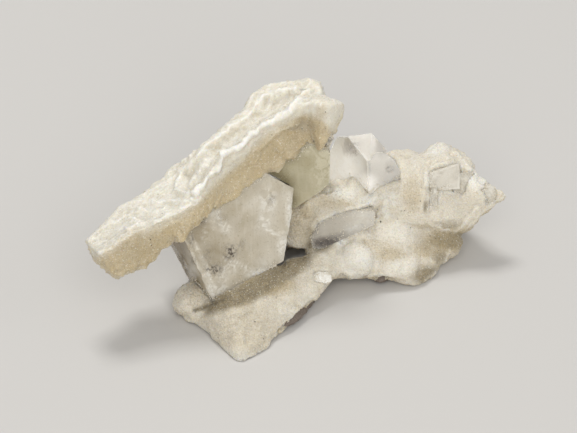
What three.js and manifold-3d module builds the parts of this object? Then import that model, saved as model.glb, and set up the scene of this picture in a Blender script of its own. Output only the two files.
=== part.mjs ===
// Apophyllite cluster: clear to milky apophyllite crystals grown between two crusts of drusy quartz.
// The lower crust (a long plank, a back wall and a right mass) lies on a slab of brown host rock,
// which carries the flat resting face. The upper crust is a slab that leans on the two big crystals.
// Millimetres, +Z up, +Y to the back. The origin is under the middle of the cluster, on the ground.
import * as THREE from 'three';
import Module from 'manifold-3d';
import { ConvexGeometry } from 'three/addons/geometries/ConvexGeometry.js';
import { LoftGeometry } from 'three/addons/geometries/LoftGeometry.js';
import { ImprovedNoise } from 'three/addons/math/ImprovedNoise.js';
import { mergeVertices } from 'three/addons/utils/BufferGeometryUtils.js';

const wasm = await Module();
wasm.setup();

// ---------------------------------------------------------------- driving dimensions

// The cluster is laid out on a drawing board that leans back: x runs across it, h runs up it.
const BOARD_LEAN = THREE.MathUtils.degToRad(35);
const SINE = Math.sin(BOARD_LEAN);
const COSINE = Math.cos(BOARD_LEAN);

const SEAM = 0.24; // half the side of the cube that swells a crystal to make its socket
const ROCK_SEAM = 0.3;
const WELD_DISTANCE = 1e-4;

const COLORS = {
  crust: 0xcfc7b6,
  blade: 0xddd7c4,
  milky: 0xbbb19c,
  green: 0xa1967c,
  clear: 0xe4dfd2,
  rock: 0x4a4038,
};

// ---------------------------------------------------------------- placing points

/** A point at x across and h up the board that stands d out of it, towards the front. */
function offBoard([x, h, d]) {
  return new THREE.Vector3(x, h * SINE - d * COSINE, h * COSINE + d * SINE);
}

/** A point at x across and h up the board, that lies y back from the cluster's front. */
function farBack([x, h, y]) {
  return new THREE.Vector3(x, y, (h - y * SINE) / COSINE);
}

// ---------------------------------------------------------------- solids

/** The same surface with its shared corners welded and its collapsed triangles left out. */
function welded(geometry) {
  const bare = new THREE.BufferGeometry();
  bare.setAttribute('position', geometry.getAttribute('position'));
  bare.setIndex(geometry.getIndex());
  const merged = mergeVertices(bare, WELD_DISTANCE);
  const corners = merged.getIndex().array;
  const kept = [];
  for (let i = 0; i < corners.length; i += 3) {
    const [a, b, c] = corners.slice(i, i + 3);
    if (a !== b && b !== c && c !== a) kept.push(a, b, c);
  }
  merged.setIndex(kept);
  return merged;
}

/** A closed geometry as a manifold solid. */
function toSolid(geometry) {
  const closed = welded(geometry);
  const vertProperties = new Float32Array(closed.getAttribute('position').array);
  const triVerts = new Uint32Array(closed.getIndex().array);
  return new wasm.Manifold(new wasm.Mesh({ numProp: 3, vertProperties, triVerts }));
}

/** A manifold solid as a geometry. */
function toGeometry(solid) {
  const { vertProperties, triVerts } = solid.getMesh();
  const geometry = new THREE.BufferGeometry();
  geometry.setAttribute('position', new THREE.BufferAttribute(new Float32Array(vertProperties), 3));
  geometry.setIndex(new THREE.BufferAttribute(new Uint32Array(triVerts), 1));
  geometry.computeVertexNormals();
  return geometry;
}

/** All the solids grown together. */
function grownTogether(solids) {
  return solids.reduce((whole, solid) => whole.add(solid));
}

/** The biggest connected piece: a cut can free small crumbs, which fall off. */
function mainPiece(solid) {
  const pieces = solid.decompose();
  return pieces.reduce((best, piece) => (piece.volume() > best.volume() ? piece : best));
}

/** Everything below the ground, to cut a resting face. */
function belowGround() {
  const SPAN = 200;
  return toSolid(new THREE.BoxGeometry(SPAN, SPAN, SPAN).translate(0, 0, -SPAN / 2));
}

// ---------------------------------------------------------------- crust forms

const noise = new ImprovedNoise();
const LUMP_WIDTH = 6.5; // of the swells in the crust
const KNOT_WIDTH = 2.6; // of the small knots on them
const KNOT_SHARE = 0.45; // a knot's height, as a share of a swell's
const SWELL = 0.6; // how far the swells stand out

/** Pushes a closed geometry's surface in and out by up to about `amount`. */
function roughened(geometry, amount) {
  const closed = welded(geometry);
  closed.computeVertexNormals();
  const position = closed.getAttribute('position');
  const normal = closed.getAttribute('normal');
  const point = new THREE.Vector3();
  const outward = new THREE.Vector3();
  for (let i = 0; i < position.count; i++) {
    point.fromBufferAttribute(position, i);
    outward.fromBufferAttribute(normal, i);
    const swell = noise.noise(point.x / LUMP_WIDTH, point.y / LUMP_WIDTH, point.z / LUMP_WIDTH);
    const knot = noise.noise(point.x / KNOT_WIDTH, point.y / KNOT_WIDTH, point.z / KNOT_WIDTH);
    point.addScaledVector(outward, amount * (swell + KNOT_SHARE * knot));
    position.setXYZ(i, point.x, point.y, point.z);
  }
  return closed;
}

/** A bar of crust: rings strung along it and drawn in at both ends. cornersAt gives a ring's corners. */
function bar(cornersAt, { rings, sides, capShare }) {
  const sections = [];
  for (let i = 0; i <= rings; i++) {
    const along = i / rings;
    const fromEnd = Math.min(1, Math.min(along, 1 - along) / capShare);
    const shrink = Math.sqrt(1 - (1 - fromEnd) ** 2);
    const corners = cornersAt(along);
    const ring = new THREE.CatmullRomCurve3(corners, true, 'centripetal').getSpacedPoints(sides);
    ring.pop();
    const middle = new THREE.Vector3();
    for (const point of ring) middle.addScaledVector(point, 1 / ring.length);
    sections.push(ring.map((point) => point.lerp(middle, 1 - shrink)));
  }
  return toSolid(roughened(new LoftGeometry(sections), SWELL));
}

/** The corners of a bar that is strung between edge lines. */
function between(edges) {
  const curves = edges.map((points) => new THREE.CatmullRomCurve3(points, false, 'centripetal'));
  return (along) => curves.map((curve) => curve.getPoint(along));
}

/** A rounded lump of crust. */
function lump([x, y, z], [rx, ry, rz]) {
  const geometry = new THREE.SphereGeometry(1, 12, 9).scale(rx, ry, rz).translate(x, y, z);
  return toSolid(roughened(geometry, SWELL));
}

// ---------------------------------------------------------------- crystals

/** A crystal: the flat-faced hull of its corners. */
function crystal(corners) {
  return toSolid(new ConvexGeometry(corners));
}

/** The socket that a crystal leaves in the crust: its hull swollen by SEAM. */
function socket(corners) {
  const swollen = [];
  for (const corner of corners) {
    for (let bits = 0; bits < 8; bits++) {
      const shift = [bits & 1, bits & 2, bits & 4].map((bit) => (bit ? SEAM : -SEAM));
      swollen.push(corner.clone().add(new THREE.Vector3(...shift)));
    }
  }
  return toSolid(new ConvexGeometry(swollen));
}

/** The points of a flat face: its outline on the board, brought into the plane of three known corners. */
function faceThrough(corners, outline) {
  const plane = new THREE.Plane().setFromCoplanarPoints(...corners);
  return outline.map(([x, h]) => {
    const point = offBoard([x, h, 0]);
    const outward = offBoard([x, h, 1]).sub(point);
    return point.addScaledVector(outward, -plane.distanceToPoint(point) / plane.normal.dot(outward));
  });
}

/** The same corners moved by (x, y, z), and drawn in towards their middle by `taper`. */
function shifted(corners, [x, y, z], taper) {
  const middle = new THREE.Vector3();
  for (const corner of corners) middle.addScaledVector(corner, 1 / corners.length);
  return corners.map((corner) => corner.clone().lerp(middle, taper).add(new THREE.Vector3(x, y, z)));
}

// Large crystal: one big face towards the front, and the same outline pushed back for its rear.
const LARGE_CORNERS = [[-18.5, 13.2, -8.4], [-2.9, 22, -12.6], [-7.5, 41.6, -8]];
const LARGE_FACE = [[-18.5, 13.2], [-2.9, 22], [-1, 33], [-0.7, 38], [-7.5, 41.6], [-25.3, 28.4]];
const LARGE_REAR = [
  [-23.7, 17.5, -20.5], [-7.5, 24, -25.6], [-5.4, 35, -24.2],
  [-5.3, 40, -24], [-12.1, 43.6, -21.1], [-30.5, 30.4, -16.8],
];

function largeCrystal() {
  return [...faceThrough(LARGE_CORNERS.map(offBoard), LARGE_FACE), ...LARGE_REAR.map(offBoard)];
}

// Rear crystal: a block with a nearly upright face, under the high end of the upper crust.
const REAR_CORNERS = [[-0.5, 33.6, 32.9], [7.2, 46, 36], [-8, 44.5, 35.6]];
const REAR_FACE = [
  [-8, 36.5], [-0.5, 33.6], [4.8, 37], [7.1, 39],
  [7.3, 45.6], [4.6, 48.4], [0.2, 48.6], [-8, 44.5],
];
const REAR_SHIFT = [0.6, 11, 0];
const REAR_TAPER = 0.14;

function rearCrystal() {
  const face = faceThrough(REAR_CORNERS.map(farBack), REAR_FACE);
  return [...face, ...shifted(face, REAR_SHIFT, REAR_TAPER)];
}

// Small darts grown on the rear crystal's top, in the corner under the upper crust.
const DARTS = [
  [[-0.4, 47.6, 37.4], [2.6, 47.9, 36.2], [3.2, 45.2, 36.4], [1.2, 44.4, 37.2], [0.4, 47, 41], [3, 47, 41]],
  [[2.4, 48.4, 37], [5.2, 48.6, 36.2], [4.6, 45.4, 36.6], [2.8, 46, 37.4], [3, 47.4, 41], [5, 47.4, 41]],
];

// Twin crystal A: a square prism that stands on edge to the front, under a bright roof facet.
const TWIN_A = {
  edgeTop: [15.4, 44, 40.8],
  edgeFoot: [15.8, 37.2, 40.8],
  roofLeft: [11.2, 49.4, 44.7],
  roofRight: [16.5, 50.2, 45.2],
  notch: [16.1, 44.2, 40.9],
  shoulder: [19.8, 46.6, 45],
  leftFace: [[8.8, 49.4], [7.4, 46.1], [6.3, 44], [6.8, 38.9], [8.4, 38], [14.8, 36.6]],
  rightFacet: [[17.6, 46.1]],
  rear: [[10.6, 49, 50.5], [15.8, 49.8, 50.5], [10.6, 43.6, 53], [19.4, 42.6, 50.5]],
};

function twinA() {
  const { edgeTop, edgeFoot, roofLeft, roofRight, notch, shoulder, leftFace, rightFacet, rear } = TWIN_A;
  const leftPlane = [roofLeft, edgeTop, edgeFoot].map(farBack);
  const rightPlane = [roofRight, notch, shoulder].map(farBack);
  return [
    ...leftPlane,
    ...rightPlane,
    ...faceThrough(leftPlane, leftFace),
    ...faceThrough(rightPlane, rightFacet),
    ...rear.map(farBack),
  ];
}

// Twin crystal B: a lower, rounder crystal that leans on A's right side.
const TWIN_B_CORNERS = [[16.1, 44.2, 40.7], [15.8, 37.2, 40.2], [22.7, 42, 43.2]];
const TWIN_B_FACE = [
  [16.1, 44.2], [17.4, 46], [19.4, 45.8], [21.6, 44.2], [22.7, 42], [22.9, 39.2],
  [21.8, 36.4], [18.9, 35], [16.5, 35.6], [15.8, 37.2],
];
const TWIN_B_SHIFT = [0.3, 6, -3.6];
const TWIN_B_TAPER = 0.12;

function twinB() {
  const face = faceThrough(TWIN_B_CORNERS.map(farBack), TWIN_B_FACE);
  return [...face, ...shifted(face, TWIN_B_SHIFT, TWIN_B_TAPER)];
}

// Crevice crystal: a flat grey crystal that lies at the back of the crevice, under the back wall.
const CREVICE_CORNERS = [[4.6, 30.1, 34.6], [17.4, 32.6, 36.6], [9.5, 27.3, 31.8]];
const CREVICE_FACE = [
  [4.6, 30.3], [11.7, 33.2], [17.4, 32.6], [17.2, 30], [12.1, 27.6], [9.2, 26], [6, 24.6], [3.4, 24.4], [3, 26.6],
];
const CREVICE_SHIFT = [0, 3.4, 0.3];
const CREVICE_TAPER = 0.1;

function creviceCrystal() {
  const face = faceThrough(CREVICE_CORNERS.map(farBack), CREVICE_FACE);
  return [...face, ...shifted(face, CREVICE_SHIFT, CREVICE_TAPER)];
}

// Crystals sunk in the right mass: a block, a narrow bar under it and a second block.
const INSET_BLOCK = [
  [29.2, 41.4, 42.8], [36, 43.6, 44.2], [36.1, 37.8, 41], [29.6, 37.6, 40.6],
  [29.8, 42.2, 46], [36, 43.4, 47.5], [36.2, 39, 45.5], [29.8, 38.6, 45],
];
const INSET_BAR = [
  [29.6, 38.6, 40.6], [31.1, 38.6, 40.5], [31, 34.2, 38.7], [29.4, 34.2, 38.8],
  [29.6, 38.4, 43.5], [31.1, 38.4, 43.5], [31, 35.4, 42.5], [29.5, 35.4, 42.5],
];
const INSET_STEP = [
  [34.6, 41.4, 43.4], [39, 41.6, 45], [39.6, 38.4, 43.4], [37.6, 36.6, 41.7], [34.6, 37.4, 41.6],
  [34.8, 41, 47], [38.8, 41, 47.2], [39, 38.4, 46.5], [35, 38.4, 46],
];

const TIP_CRYSTAL = [
  [40.4, 37.2, 41.7], [42, 39.3, 43.2], [44.1, 38.4, 43.4], [44.2, 35.3, 41.3], [41.9, 34.4, 40.2],
  [41, 37.2, 43.6], [42.2, 38.8, 44.6], [43.8, 38.2, 44.8], [43.8, 35.8, 43.2], [41.8, 35, 42.4],
];
const HANGING_CRYSTAL = [
  [6.8, 47, 35.4], [4.7, 48.5, 35.6], [5.2, 50.2, 35.6], [7.4, 50.4, 35.8], [8.1, 48.9, 36.2],
  [6.4, 48.6, 34.4], [5.4, 50, 38.4], [7.3, 50, 38.2],
];
const EDGE_CRYSTAL = [
  [3.7, 19, 22.9], [4.6, 19.7, 23.6], [7.4, 19.5, 24.2], [7.7, 17.6, 23], [6.6, 17, 22.3],
  [4, 17.5, 21.9], [4.6, 19, 26], [7.2, 19, 26.4], [6.6, 17.8, 25.4],
];

/** The corner points of every crystal, by the node that it belongs to. */
const CRYSTALS = {
  large_crystal: [largeCrystal()],
  rear_crystal: [rearCrystal(), ...DARTS.map((dart) => dart.map(farBack))],
  twin_crystals: [twinA(), twinB()],
  crevice_crystal: [creviceCrystal()],
  inset_crystals: [INSET_BLOCK.map(farBack), INSET_BAR.map(farBack), INSET_STEP.map(farBack)],
  tip_crystal: [TIP_CRYSTAL.map(farBack)],
  hanging_crystal: [HANGING_CRYSTAL.map(farBack)],
  edge_crystal: [EDGE_CRYSTAL.map(farBack)],
};

/** The solid less the sockets of the given crystals. */
function cutBy(hulls, solid) {
  return hulls.map(socket).reduce((rest, hole) => rest.subtract(hole), solid);
}

/** The crust less the sockets of all the crystals. */
function withSocketsCut(crust) {
  return cutBy(Object.values(CRYSTALS).flat(), crust);
}

/** The crystals of one node, grown together, and cut back where they meet the nodes before it. */
function grownCrystals(name) {
  const names = Object.keys(CRYSTALS);
  const earlier = names.slice(0, names.indexOf(name)).flatMap((other) => CRYSTALS[other]);
  return cutBy(earlier, grownTogether(CRYSTALS[name].map(crystal)));
}

// ---------------------------------------------------------------- host rock

const ROCK_HEIGHT = 3.6;
const ROCK_BEVEL = 0.8;
const ROCK_SWELL = 0.5;
const ROCK_OUTLINE_POINTS = 64;
const ROCK_OUTLINE = [
  [-12, 11.5], [-8, 11.5], [-5, 11.8], [-2.6, 12.8], [0.7, 17], [2.8, 21.4], [5, 26], [8, 31.5],
  [12, 33], [16, 32], [17.4, 30], [19.4, 30], [21.2, 32.5], [27, 34.5], [31, 40], [31, 46], [24, 50],
  [14, 48], [6, 44], [3, 38], [0, 32], [-4, 31], [-8, 37], [-14, 38], [-18, 33], [-18, 26], [-15, 18],
];

/** The slab of host rock, `grow` bigger all round. */
function rockSlab(grow) {
  const corners = ROCK_OUTLINE.map(([x, y]) => new THREE.Vector3(x, y, 0));
  const curve = new THREE.CatmullRomCurve3(corners, true, 'centripetal');
  const outline = curve.getSpacedPoints(ROCK_OUTLINE_POINTS).map(({ x, y }) => new THREE.Vector2(x, y));
  const shape = new THREE.Shape(outline);
  const geometry = new THREE.ExtrudeGeometry(shape, {
    depth: 2 * ROCK_HEIGHT - ROCK_BEVEL + grow,
    steps: 2,
    bevelThickness: ROCK_BEVEL,
    bevelSize: ROCK_BEVEL,
    bevelOffset: grow - ROCK_BEVEL,
    bevelSegments: 1,
  });
  geometry.translate(0, 0, -ROCK_HEIGHT);
  return toSolid(roughened(geometry, ROCK_SWELL)).subtract(belowGround());
}

// ---------------------------------------------------------------- lower crust

// Front plank, from the left knob to under the right mass: its top ridge and its front foot.
const PLANK_RIDGE = [
  [-26.2, 14.6, 22.3], [-24.1, 16.4, 21.5], [-20, 15.5, 18], [-17.5, 14.9, 14.5], [-14.5, 15.8, 14.4],
  [-11.2, 17.4, 17.2], [-7.3, 19.6, 20.7], [-3.5, 21.3, 23.5], [-1.6, 22.4, 25], [0.2, 22.9, 26.2],
  [4.5, 24.4, 28.5], [9.3, 26.6, 31.5], [14, 29.4, 34.5], [19, 32.2, 37.6], [25, 34, 41], [31, 31, 42],
];
const PLANK_FOOT = [
  [-26.8, 11.5, 19.5], [-23.4, 8.2, 14], [-19.6, 6.2, 11], [-16, 2.1, 3.8], [-12.4, -0.3, -0.4],
  [-8.2, 1.9, 3], [-4.2, 5.2, 7.8], [-2.3, 7.2, 10.5], [-0.4, 9.3, 13.3], [3.7, 12.8, 18.3], [8.2, 17.9, 24],
  [13.4, 18.7, 26.8], [19.5, 17.9, 27.6], [25.6, 16.3, 27.6], [30.4, 18.4, 31.6], [34, 23.4, 36.6],
];
const PLANK_BELLY = 1.2; // how far the plank's front side bulges,
const BELLY_DROP = 0.45; // and how far down it the bulge is
const PLANK_HEEL = { side: -0.6, back: 5, height: 0.5 }; // the foot of its back side, from the ridge

function plank() {
  const ridge = PLANK_RIDGE.map(farBack);
  const foot = PLANK_FOOT.map(farBack);
  const outward = offBoard([0, 0, 1]);
  const belly = ridge.map((point, i) => {
    return point.clone().lerp(foot[i], BELLY_DROP).addScaledVector(outward, PLANK_BELLY);
  });
  const { side, back, height } = PLANK_HEEL;
  const heel = ridge.map((point) => new THREE.Vector3(point.x + side, point.y + back, height));
  return bar(between([ridge, belly, foot, heel]), { rings: 42, sides: 16, capShare: 0.05 });
}

// Back wall, behind the crevice: its crest, brow, hollow front, lower lip and back.
const WALL = {
  crest: [
    [-4.4, 34.6, 39], [-0.2, 36.3, 39.5], [2.6, 37.3, 40.5], [6, 39, 42], [13, 41, 44], [19, 42.5, 46],
  ],
  brow: [
    [-4, 32.1, 33.7], [0.2, 32.8, 33.9], [2.6, 34.5, 34.8], [6, 36.3, 36.8], [13, 37, 40.2], [19, 37, 41],
  ],
  scoop: [
    [-4, 28.4, 33.4], [0.2, 28.2, 33.2], [2.7, 29.6, 33.8], [6, 33.2, 36.2], [13, 34.8, 38.6], [19, 35.4, 39.6],
  ],
  lip: [
    [-3.8, 24.8, 32], [0.2, 24, 31.4], [2.8, 24.6, 31.4], [6, 30.2, 34.4], [13, 32.8, 37], [19, 34, 38.4],
  ],
  back: [
    [-3.4, 31, 40], [0.4, 32, 42], [2.9, 33, 43.5], [6.4, 35, 45.5], [13, 37, 47], [19, 38.5, 48],
  ],
};

// Right mass: its crest, brow and lower ledge, and the height at which its back side ends.
const MASS = {
  crest: [
    [9.6, 42.6, 46.5], [16.5, 45.4, 49], [22.2, 46.6, 50.6], [27.1, 46.4, 51.5], [31.5, 48.3, 54],
    [35, 46.8, 52.5], [38.1, 44.8, 50], [40.6, 41, 46.5], [43.4, 39, 45], [46.8, 37.1, 43.2],
  ],
  brow: [
    [9.6, 37.6, 41.5], [16.5, 37.6, 41], [23.1, 39.8, 42.4], [28.2, 40.9, 43], [32.6, 43.1, 45],
    [36.3, 42, 45], [38.9, 40.9, 44], [41.4, 38.7, 43], [43.8, 37.6, 43], [46.8, 36.5, 42.6],
  ],
  ledge: [
    [9.6, 34.3, 39.5], [17.2, 32.4, 38], [23.8, 30, 36.6], [28.8, 28.8, 36.6], [32.6, 28.8, 38],
    [36.2, 28.4, 38], [38.9, 29.4, 38], [41.8, 33, 39.4], [44.2, 34.5, 41], [46.8, 35.8, 42.2],
  ],
  backHeights: [8, 5, 3, 1, 1, 2, 5, 10, 12, 14],
};

function rightMass() {
  const crest = MASS.crest.map(farBack);
  const edges = [crest, MASS.brow.map(farBack), MASS.ledge.map(farBack)];
  edges.push(crest.map((point, i) => new THREE.Vector3(point.x, point.y - 0.5, MASS.backHeights[i])));
  return bar(between(edges), { rings: 28, sides: 18, capShare: 0.06 });
}

// Bed behind the crystals, from the left knob to the right mass: [x, middle's y, half its depth, height].
const BED = [
  [-24, 30.5, 3, 4], [-20, 32.5, 5, 8], [-14, 35, 6.4, 12], [-8, 38.4, 6.2, 15], [-4.8, 42, 4.6, 17],
  [-2.6, 46.6, 3.4, 18], [2, 47.6, 3.6, 18], [7, 47.5, 4.4, 14.5], [12, 47.5, 5.4, 12.5], [18, 47.2, 6, 15],
  [24, 47, 6.4, 17], [28, 47, 5, 14],
];

// The corners of the bed's section: how far back and how high each one lies, in half depths and heights.
const BED_SECTION = [[0, 1], [-1, 0.55], [-1.1, -0.1], [1.1, -0.1], [1, 0.55]];

function bed() {
  const edges = BED_SECTION.map(([depthShare, heightShare]) => {
    return BED.map(([x, y, halfDepth, height]) => {
      return new THREE.Vector3(x, y + depthShare * halfDepth, heightShare * height);
    });
  });
  return bar(between(edges), { rings: 26, sides: 12, capShare: 0.06 });
}

// Lumps, as [middle, radii] in true x, y and z.
const CRUST_LUMPS = [
  [[-23.3, 19.4, 3], [4.1, 4.4, 3.2]], // left knob
  [[12.8, 30.1, 7], [3.7, 3.6, 3.6]], // smooth pale dome on the plank
  [[31.2, 40.6, 4.5], [5.6, 5.6, 6]], // recess under the right mass
  [[3.4, 30.4, 7.2], [1.8, 2.6, 2.6]], // knot between the plank and the back wall
];

function backWall() {
  const edges = Object.values(WALL).map((edge) => edge.map(farBack));
  return bar(between(edges), { rings: 16, sides: 14, capShare: 0.1 });
}

function lowerCrust() {
  const forms = [
    plank(),
    backWall(),
    rightMass(),
    bed(),
    ...CRUST_LUMPS.map(([middle, radii]) => lump(middle, radii)),
  ];
  const crust = grownTogether(forms).subtract(belowGround()).subtract(rockSlab(ROCK_SEAM));
  return mainPiece(withSocketsCut(crust));
}

// ---------------------------------------------------------------- upper crust

// Upper slab, from its low left end to its high right end: [x, h] of its back rim, front rim and foot.
const SLAB = {
  backRim: [
    [-47.4, 26], [-42.7, 29.8], [-38.6, 34], [-34.4, 36.5], [-30.1, 39.7], [-26.2, 43.5],
    [-21, 47.2], [-16.5, 51.4], [-11.4, 56.2], [-8.4, 59.8], [-2, 61.6], [6.6, 62.6],
  ],
  frontRim: [
    [-45, 22.8], [-38.9, 26], [-34.5, 28.8], [-30.1, 30.6], [-25.3, 33], [-21.3, 37.2],
    [-17.6, 43.6], [-12.5, 47.3], [-7.7, 51.3], [-3.1, 53.2], [1.3, 56.1], [7.6, 57.4],
  ],
  foot: [
    [-40, 18.2], [-35.8, 20.4], [-32.2, 21], [-27.9, 25.6], [-23.5, 29], [-19.8, 32.8],
    [-14.3, 36.1], [-10.3, 39.2], [-5.9, 42.7], [-1.1, 44.9], [2.6, 47.3], [7.8, 48.2],
  ],
};
const SLAB_NEAR = 5; // how far the front rim stands out of the board at the low end
const SLAB_FALL = 11; // and how much less it does at the high end
const TOP_SLOPE = 1.3; // how fast the top runs back, against its rise up the board
const FRONT_SLOPE = 0.85; // how fast the front side runs back, against its fall

// The slab's section: how far across its top, and how far down its side, each corner lies.
const SLAB_SECTION = [
  [0, 0], [-0.04, 0.5], [0, 1], [0.5, 1.06], [0.98, 0.95],
  [1.08, 0.4], [1, 0], [0.8, 0.05], [0.5, 0.12], [0.2, 0.03],
];

function slabCorners() {
  const depth = SLAB.frontRim.map((_, i) => SLAB_NEAR - SLAB_FALL * (i / (SLAB.frontRim.length - 1)));
  const front = SLAB.frontRim.map(([x, h], i) => offBoard([x, h, depth[i]]));
  const back = SLAB.backRim.map(([x, h], i) => {
    return offBoard([x, h, depth[i] - TOP_SLOPE * (h - SLAB.frontRim[i][1])]);
  });
  const foot = SLAB.foot.map(([x, h], i) => {
    return offBoard([x, h, depth[i] - FRONT_SLOPE * (SLAB.frontRim[i][1] - h)]);
  });
  const edgesAt = between([front, back, foot]);
  return (along) => {
    const [origin, across, down] = edgesAt(along);
    across.sub(origin);
    down.sub(origin);
    return SLAB_SECTION.map(([a, b]) => origin.clone().addScaledVector(across, a).addScaledVector(down, b));
  };
}

// Knob that hangs from the slab's high end, from its top to its lobe.
const KNOB = {
  left: [[3.4, 58.2, 39], [2.2, 56.6, 37.6], [2.4, 53.4, 36.6], [3.2, 50, 35.6], [4.8, 47, 35.6]],
  back: [[5.4, 58.1, 40.4], [6, 56.4, 42], [5.8, 53.6, 41.6], [5.6, 50.6, 39.6], [6, 47.8, 37]],
  right: [[6.6, 58.4, 39.4], [9.8, 56.6, 38.6], [9.8, 53.6, 38], [8, 50.4, 36.6], [7.4, 47.4, 36.2]],
  front: [[5.4, 58.4, 38.4], [6, 56.2, 35.2], [6.1, 53.4, 34.4], [5.6, 50, 34], [5.9, 46.9, 34.9]],
};

function knob() {
  const edges = Object.values(KNOB).map((edge) => edge.map(farBack));
  return bar(between(edges), { rings: 12, sides: 12, capShare: 0.18 });
}

function upperCrust() {
  const slab = bar(slabCorners(), { rings: 44, sides: 20, capShare: 0.04 });
  return mainPiece(withSocketsCut(grownTogether([slab, knob()])));
}

// ---------------------------------------------------------------- the cluster

function material(color, roughness) {
  return new THREE.MeshStandardMaterial({ color, roughness, metalness: 0 });
}

function named(name, solid, look) {
  const mesh = new THREE.Mesh(toGeometry(solid), look);
  mesh.name = name;
  return mesh;
}

const CRYSTAL_LOOKS = {
  large_crystal: material(COLORS.milky, 0.25),
  rear_crystal: material(COLORS.green, 0.3),
  crevice_crystal: material(COLORS.milky, 0.2),
};
const CLEAR_LOOK = material(COLORS.clear, 0.15);

function cluster() {
  const parts = new THREE.Group();
  parts.add(named('rock_base', rockSlab(0), material(COLORS.rock, 0.9)));
  parts.add(named('quartz_matrix', lowerCrust(), material(COLORS.crust, 0.75)));
  parts.add(named('quartz_blade', upperCrust(), material(COLORS.blade, 0.75)));
  for (const name of Object.keys(CRYSTALS)) {
    parts.add(named(name, grownCrystals(name), CRYSTAL_LOOKS[name] ?? CLEAR_LOOK));
  }
  return parts;
}

/** Stands the cluster over the origin: centred in x and y, lowest point at z = 0. */
function stoodOnOrigin(parts) {
  const box = new THREE.Box3().setFromObject(parts);
  const middle = box.getCenter(new THREE.Vector3());
  parts.position.set(-middle.x, -middle.y, -box.min.z);
  const whole = new THREE.Group();
  whole.add(parts);
  return whole;
}

export default stoodOnOrigin(cluster());
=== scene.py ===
# %% [markdown]
# # An apophyllite cluster
# The specimen is one natural thing: milky and clear apophyllite crystals that grew between two crusts of
# sugary quartz, with a little brown host rock left underneath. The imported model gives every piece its
# place. This lesson grows the crusts into fine skins, softens the crystals' edges, strews the quartz
# grains and gives each stone its finish.

import math

import bmesh
import bpy
import numpy as np
from mathutils import Matrix, Vector, noise
from mathutils.bvhtree import BVHTree


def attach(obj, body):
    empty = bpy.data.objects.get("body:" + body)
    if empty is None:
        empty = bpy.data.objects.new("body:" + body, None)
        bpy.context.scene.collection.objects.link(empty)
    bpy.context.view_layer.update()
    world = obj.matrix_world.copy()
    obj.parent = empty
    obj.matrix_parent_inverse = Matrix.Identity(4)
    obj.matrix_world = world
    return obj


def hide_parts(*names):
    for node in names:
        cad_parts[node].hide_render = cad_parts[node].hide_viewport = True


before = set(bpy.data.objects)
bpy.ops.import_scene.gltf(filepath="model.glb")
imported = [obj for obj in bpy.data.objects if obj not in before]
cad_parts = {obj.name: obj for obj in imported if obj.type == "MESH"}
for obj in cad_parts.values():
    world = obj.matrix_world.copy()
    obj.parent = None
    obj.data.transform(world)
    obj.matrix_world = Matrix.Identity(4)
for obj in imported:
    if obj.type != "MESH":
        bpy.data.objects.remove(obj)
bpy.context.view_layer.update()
MM = 0.001
print("nodes:", sorted(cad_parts))

# %% [markdown]
# ## The drawing board
# The cluster was laid out on a board that leans back 35 degrees, and the camera looks square onto it. A
# place on the specimen is then easy to name: x across the board, h up it, and d out of it, in
# millimetres. Plain numbers in metres would work too, but nobody could tell from them which lump they
# mean.

# %% Board
LEAN = math.radians(35)
BOARD_CORNER = np.array([-0.517, -27.968, 0.0])  # where the board's zero lies in the frame, mm
UP = np.array([0.0, math.sin(LEAN), math.cos(LEAN)])
OUT = np.array([0.0, -math.cos(LEAN), math.sin(LEAN)])


def off_board(x, h, d):
    """The place of a board point in the frame, in millimetres."""
    return BOARD_CORNER + np.array([x, 0.0, 0.0]) + h * UP + d * OUT


def on_board(points):
    """The x, h and d of points given in millimetres, one row each."""
    local = points - BOARD_CORNER
    return local[:, 0], local @ UP, local @ OUT


print("board's middle in the frame:", off_board(0, 30, 0).round(1))

# %% [markdown]
# ## The camera
# A long lens from far away flattens the view, as in a catalogue picture of a mineral. It looks square
# onto the board, so a place on the board is also a place in the picture. A short lens would swell the
# nearest crystal.

# %% Camera
PIXELS_ACROSS = 577
PIXEL_SIZE = 0.22  # mm at the specimen
LENS = 400
SENSOR = 36
PICTURE_MIDDLE = (-1.87, 31.79)  # x and h on the board
MIDDLE_DEPTH = -15  # the cluster's middle, which the distance is measured from
camera_data = bpy.data.cameras.new("camera")
camera_data.lens = LENS
camera_data.sensor_width = SENSOR
camera_data.clip_start = 0.1
camera_data.clip_end = 20
camera = bpy.data.objects.new("camera", camera_data)
bpy.context.scene.collection.objects.link(camera)
camera_distance = PIXELS_ACROSS * PIXEL_SIZE * LENS / SENSOR
camera.location = Vector(off_board(*PICTURE_MIDDLE, MIDDLE_DEPTH + camera_distance)) * MM
camera.rotation_euler = (math.pi / 2 - LEAN, 0, 0)
bpy.context.scene.camera = camera
print("camera stands", round(camera_distance), "mm away")

# %% [markdown]
# ## Light
# White stone on a pale ground needs soft, even light, or its shape burns out. A softbox behind and above
# lights the tops and the rims. A wider one in front fills the crystals' faces, a weak one from the right
# rounds the mass, and a bright room opens the shadows.

# %% Lights
AIM = Vector((0, 0, 0.015))  # the cluster's middle, in metres


def softbox(name, direction, distance, size, watts, colour=(1, 1, 1)):
    """A square area light that looks at the cluster from a direction. Lengths are in metres."""
    data = bpy.data.lights.new(name, "AREA")
    data.energy = watts
    data.size = size
    data.color = colour
    light = bpy.data.objects.new(name, data)
    bpy.context.scene.collection.objects.link(light)
    towards = Vector(direction).normalized()
    light.location = AIM + towards * distance
    light.rotation_euler = towards.to_track_quat("Z", "Y").to_euler()
    print(name, watts, "W")


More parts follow.
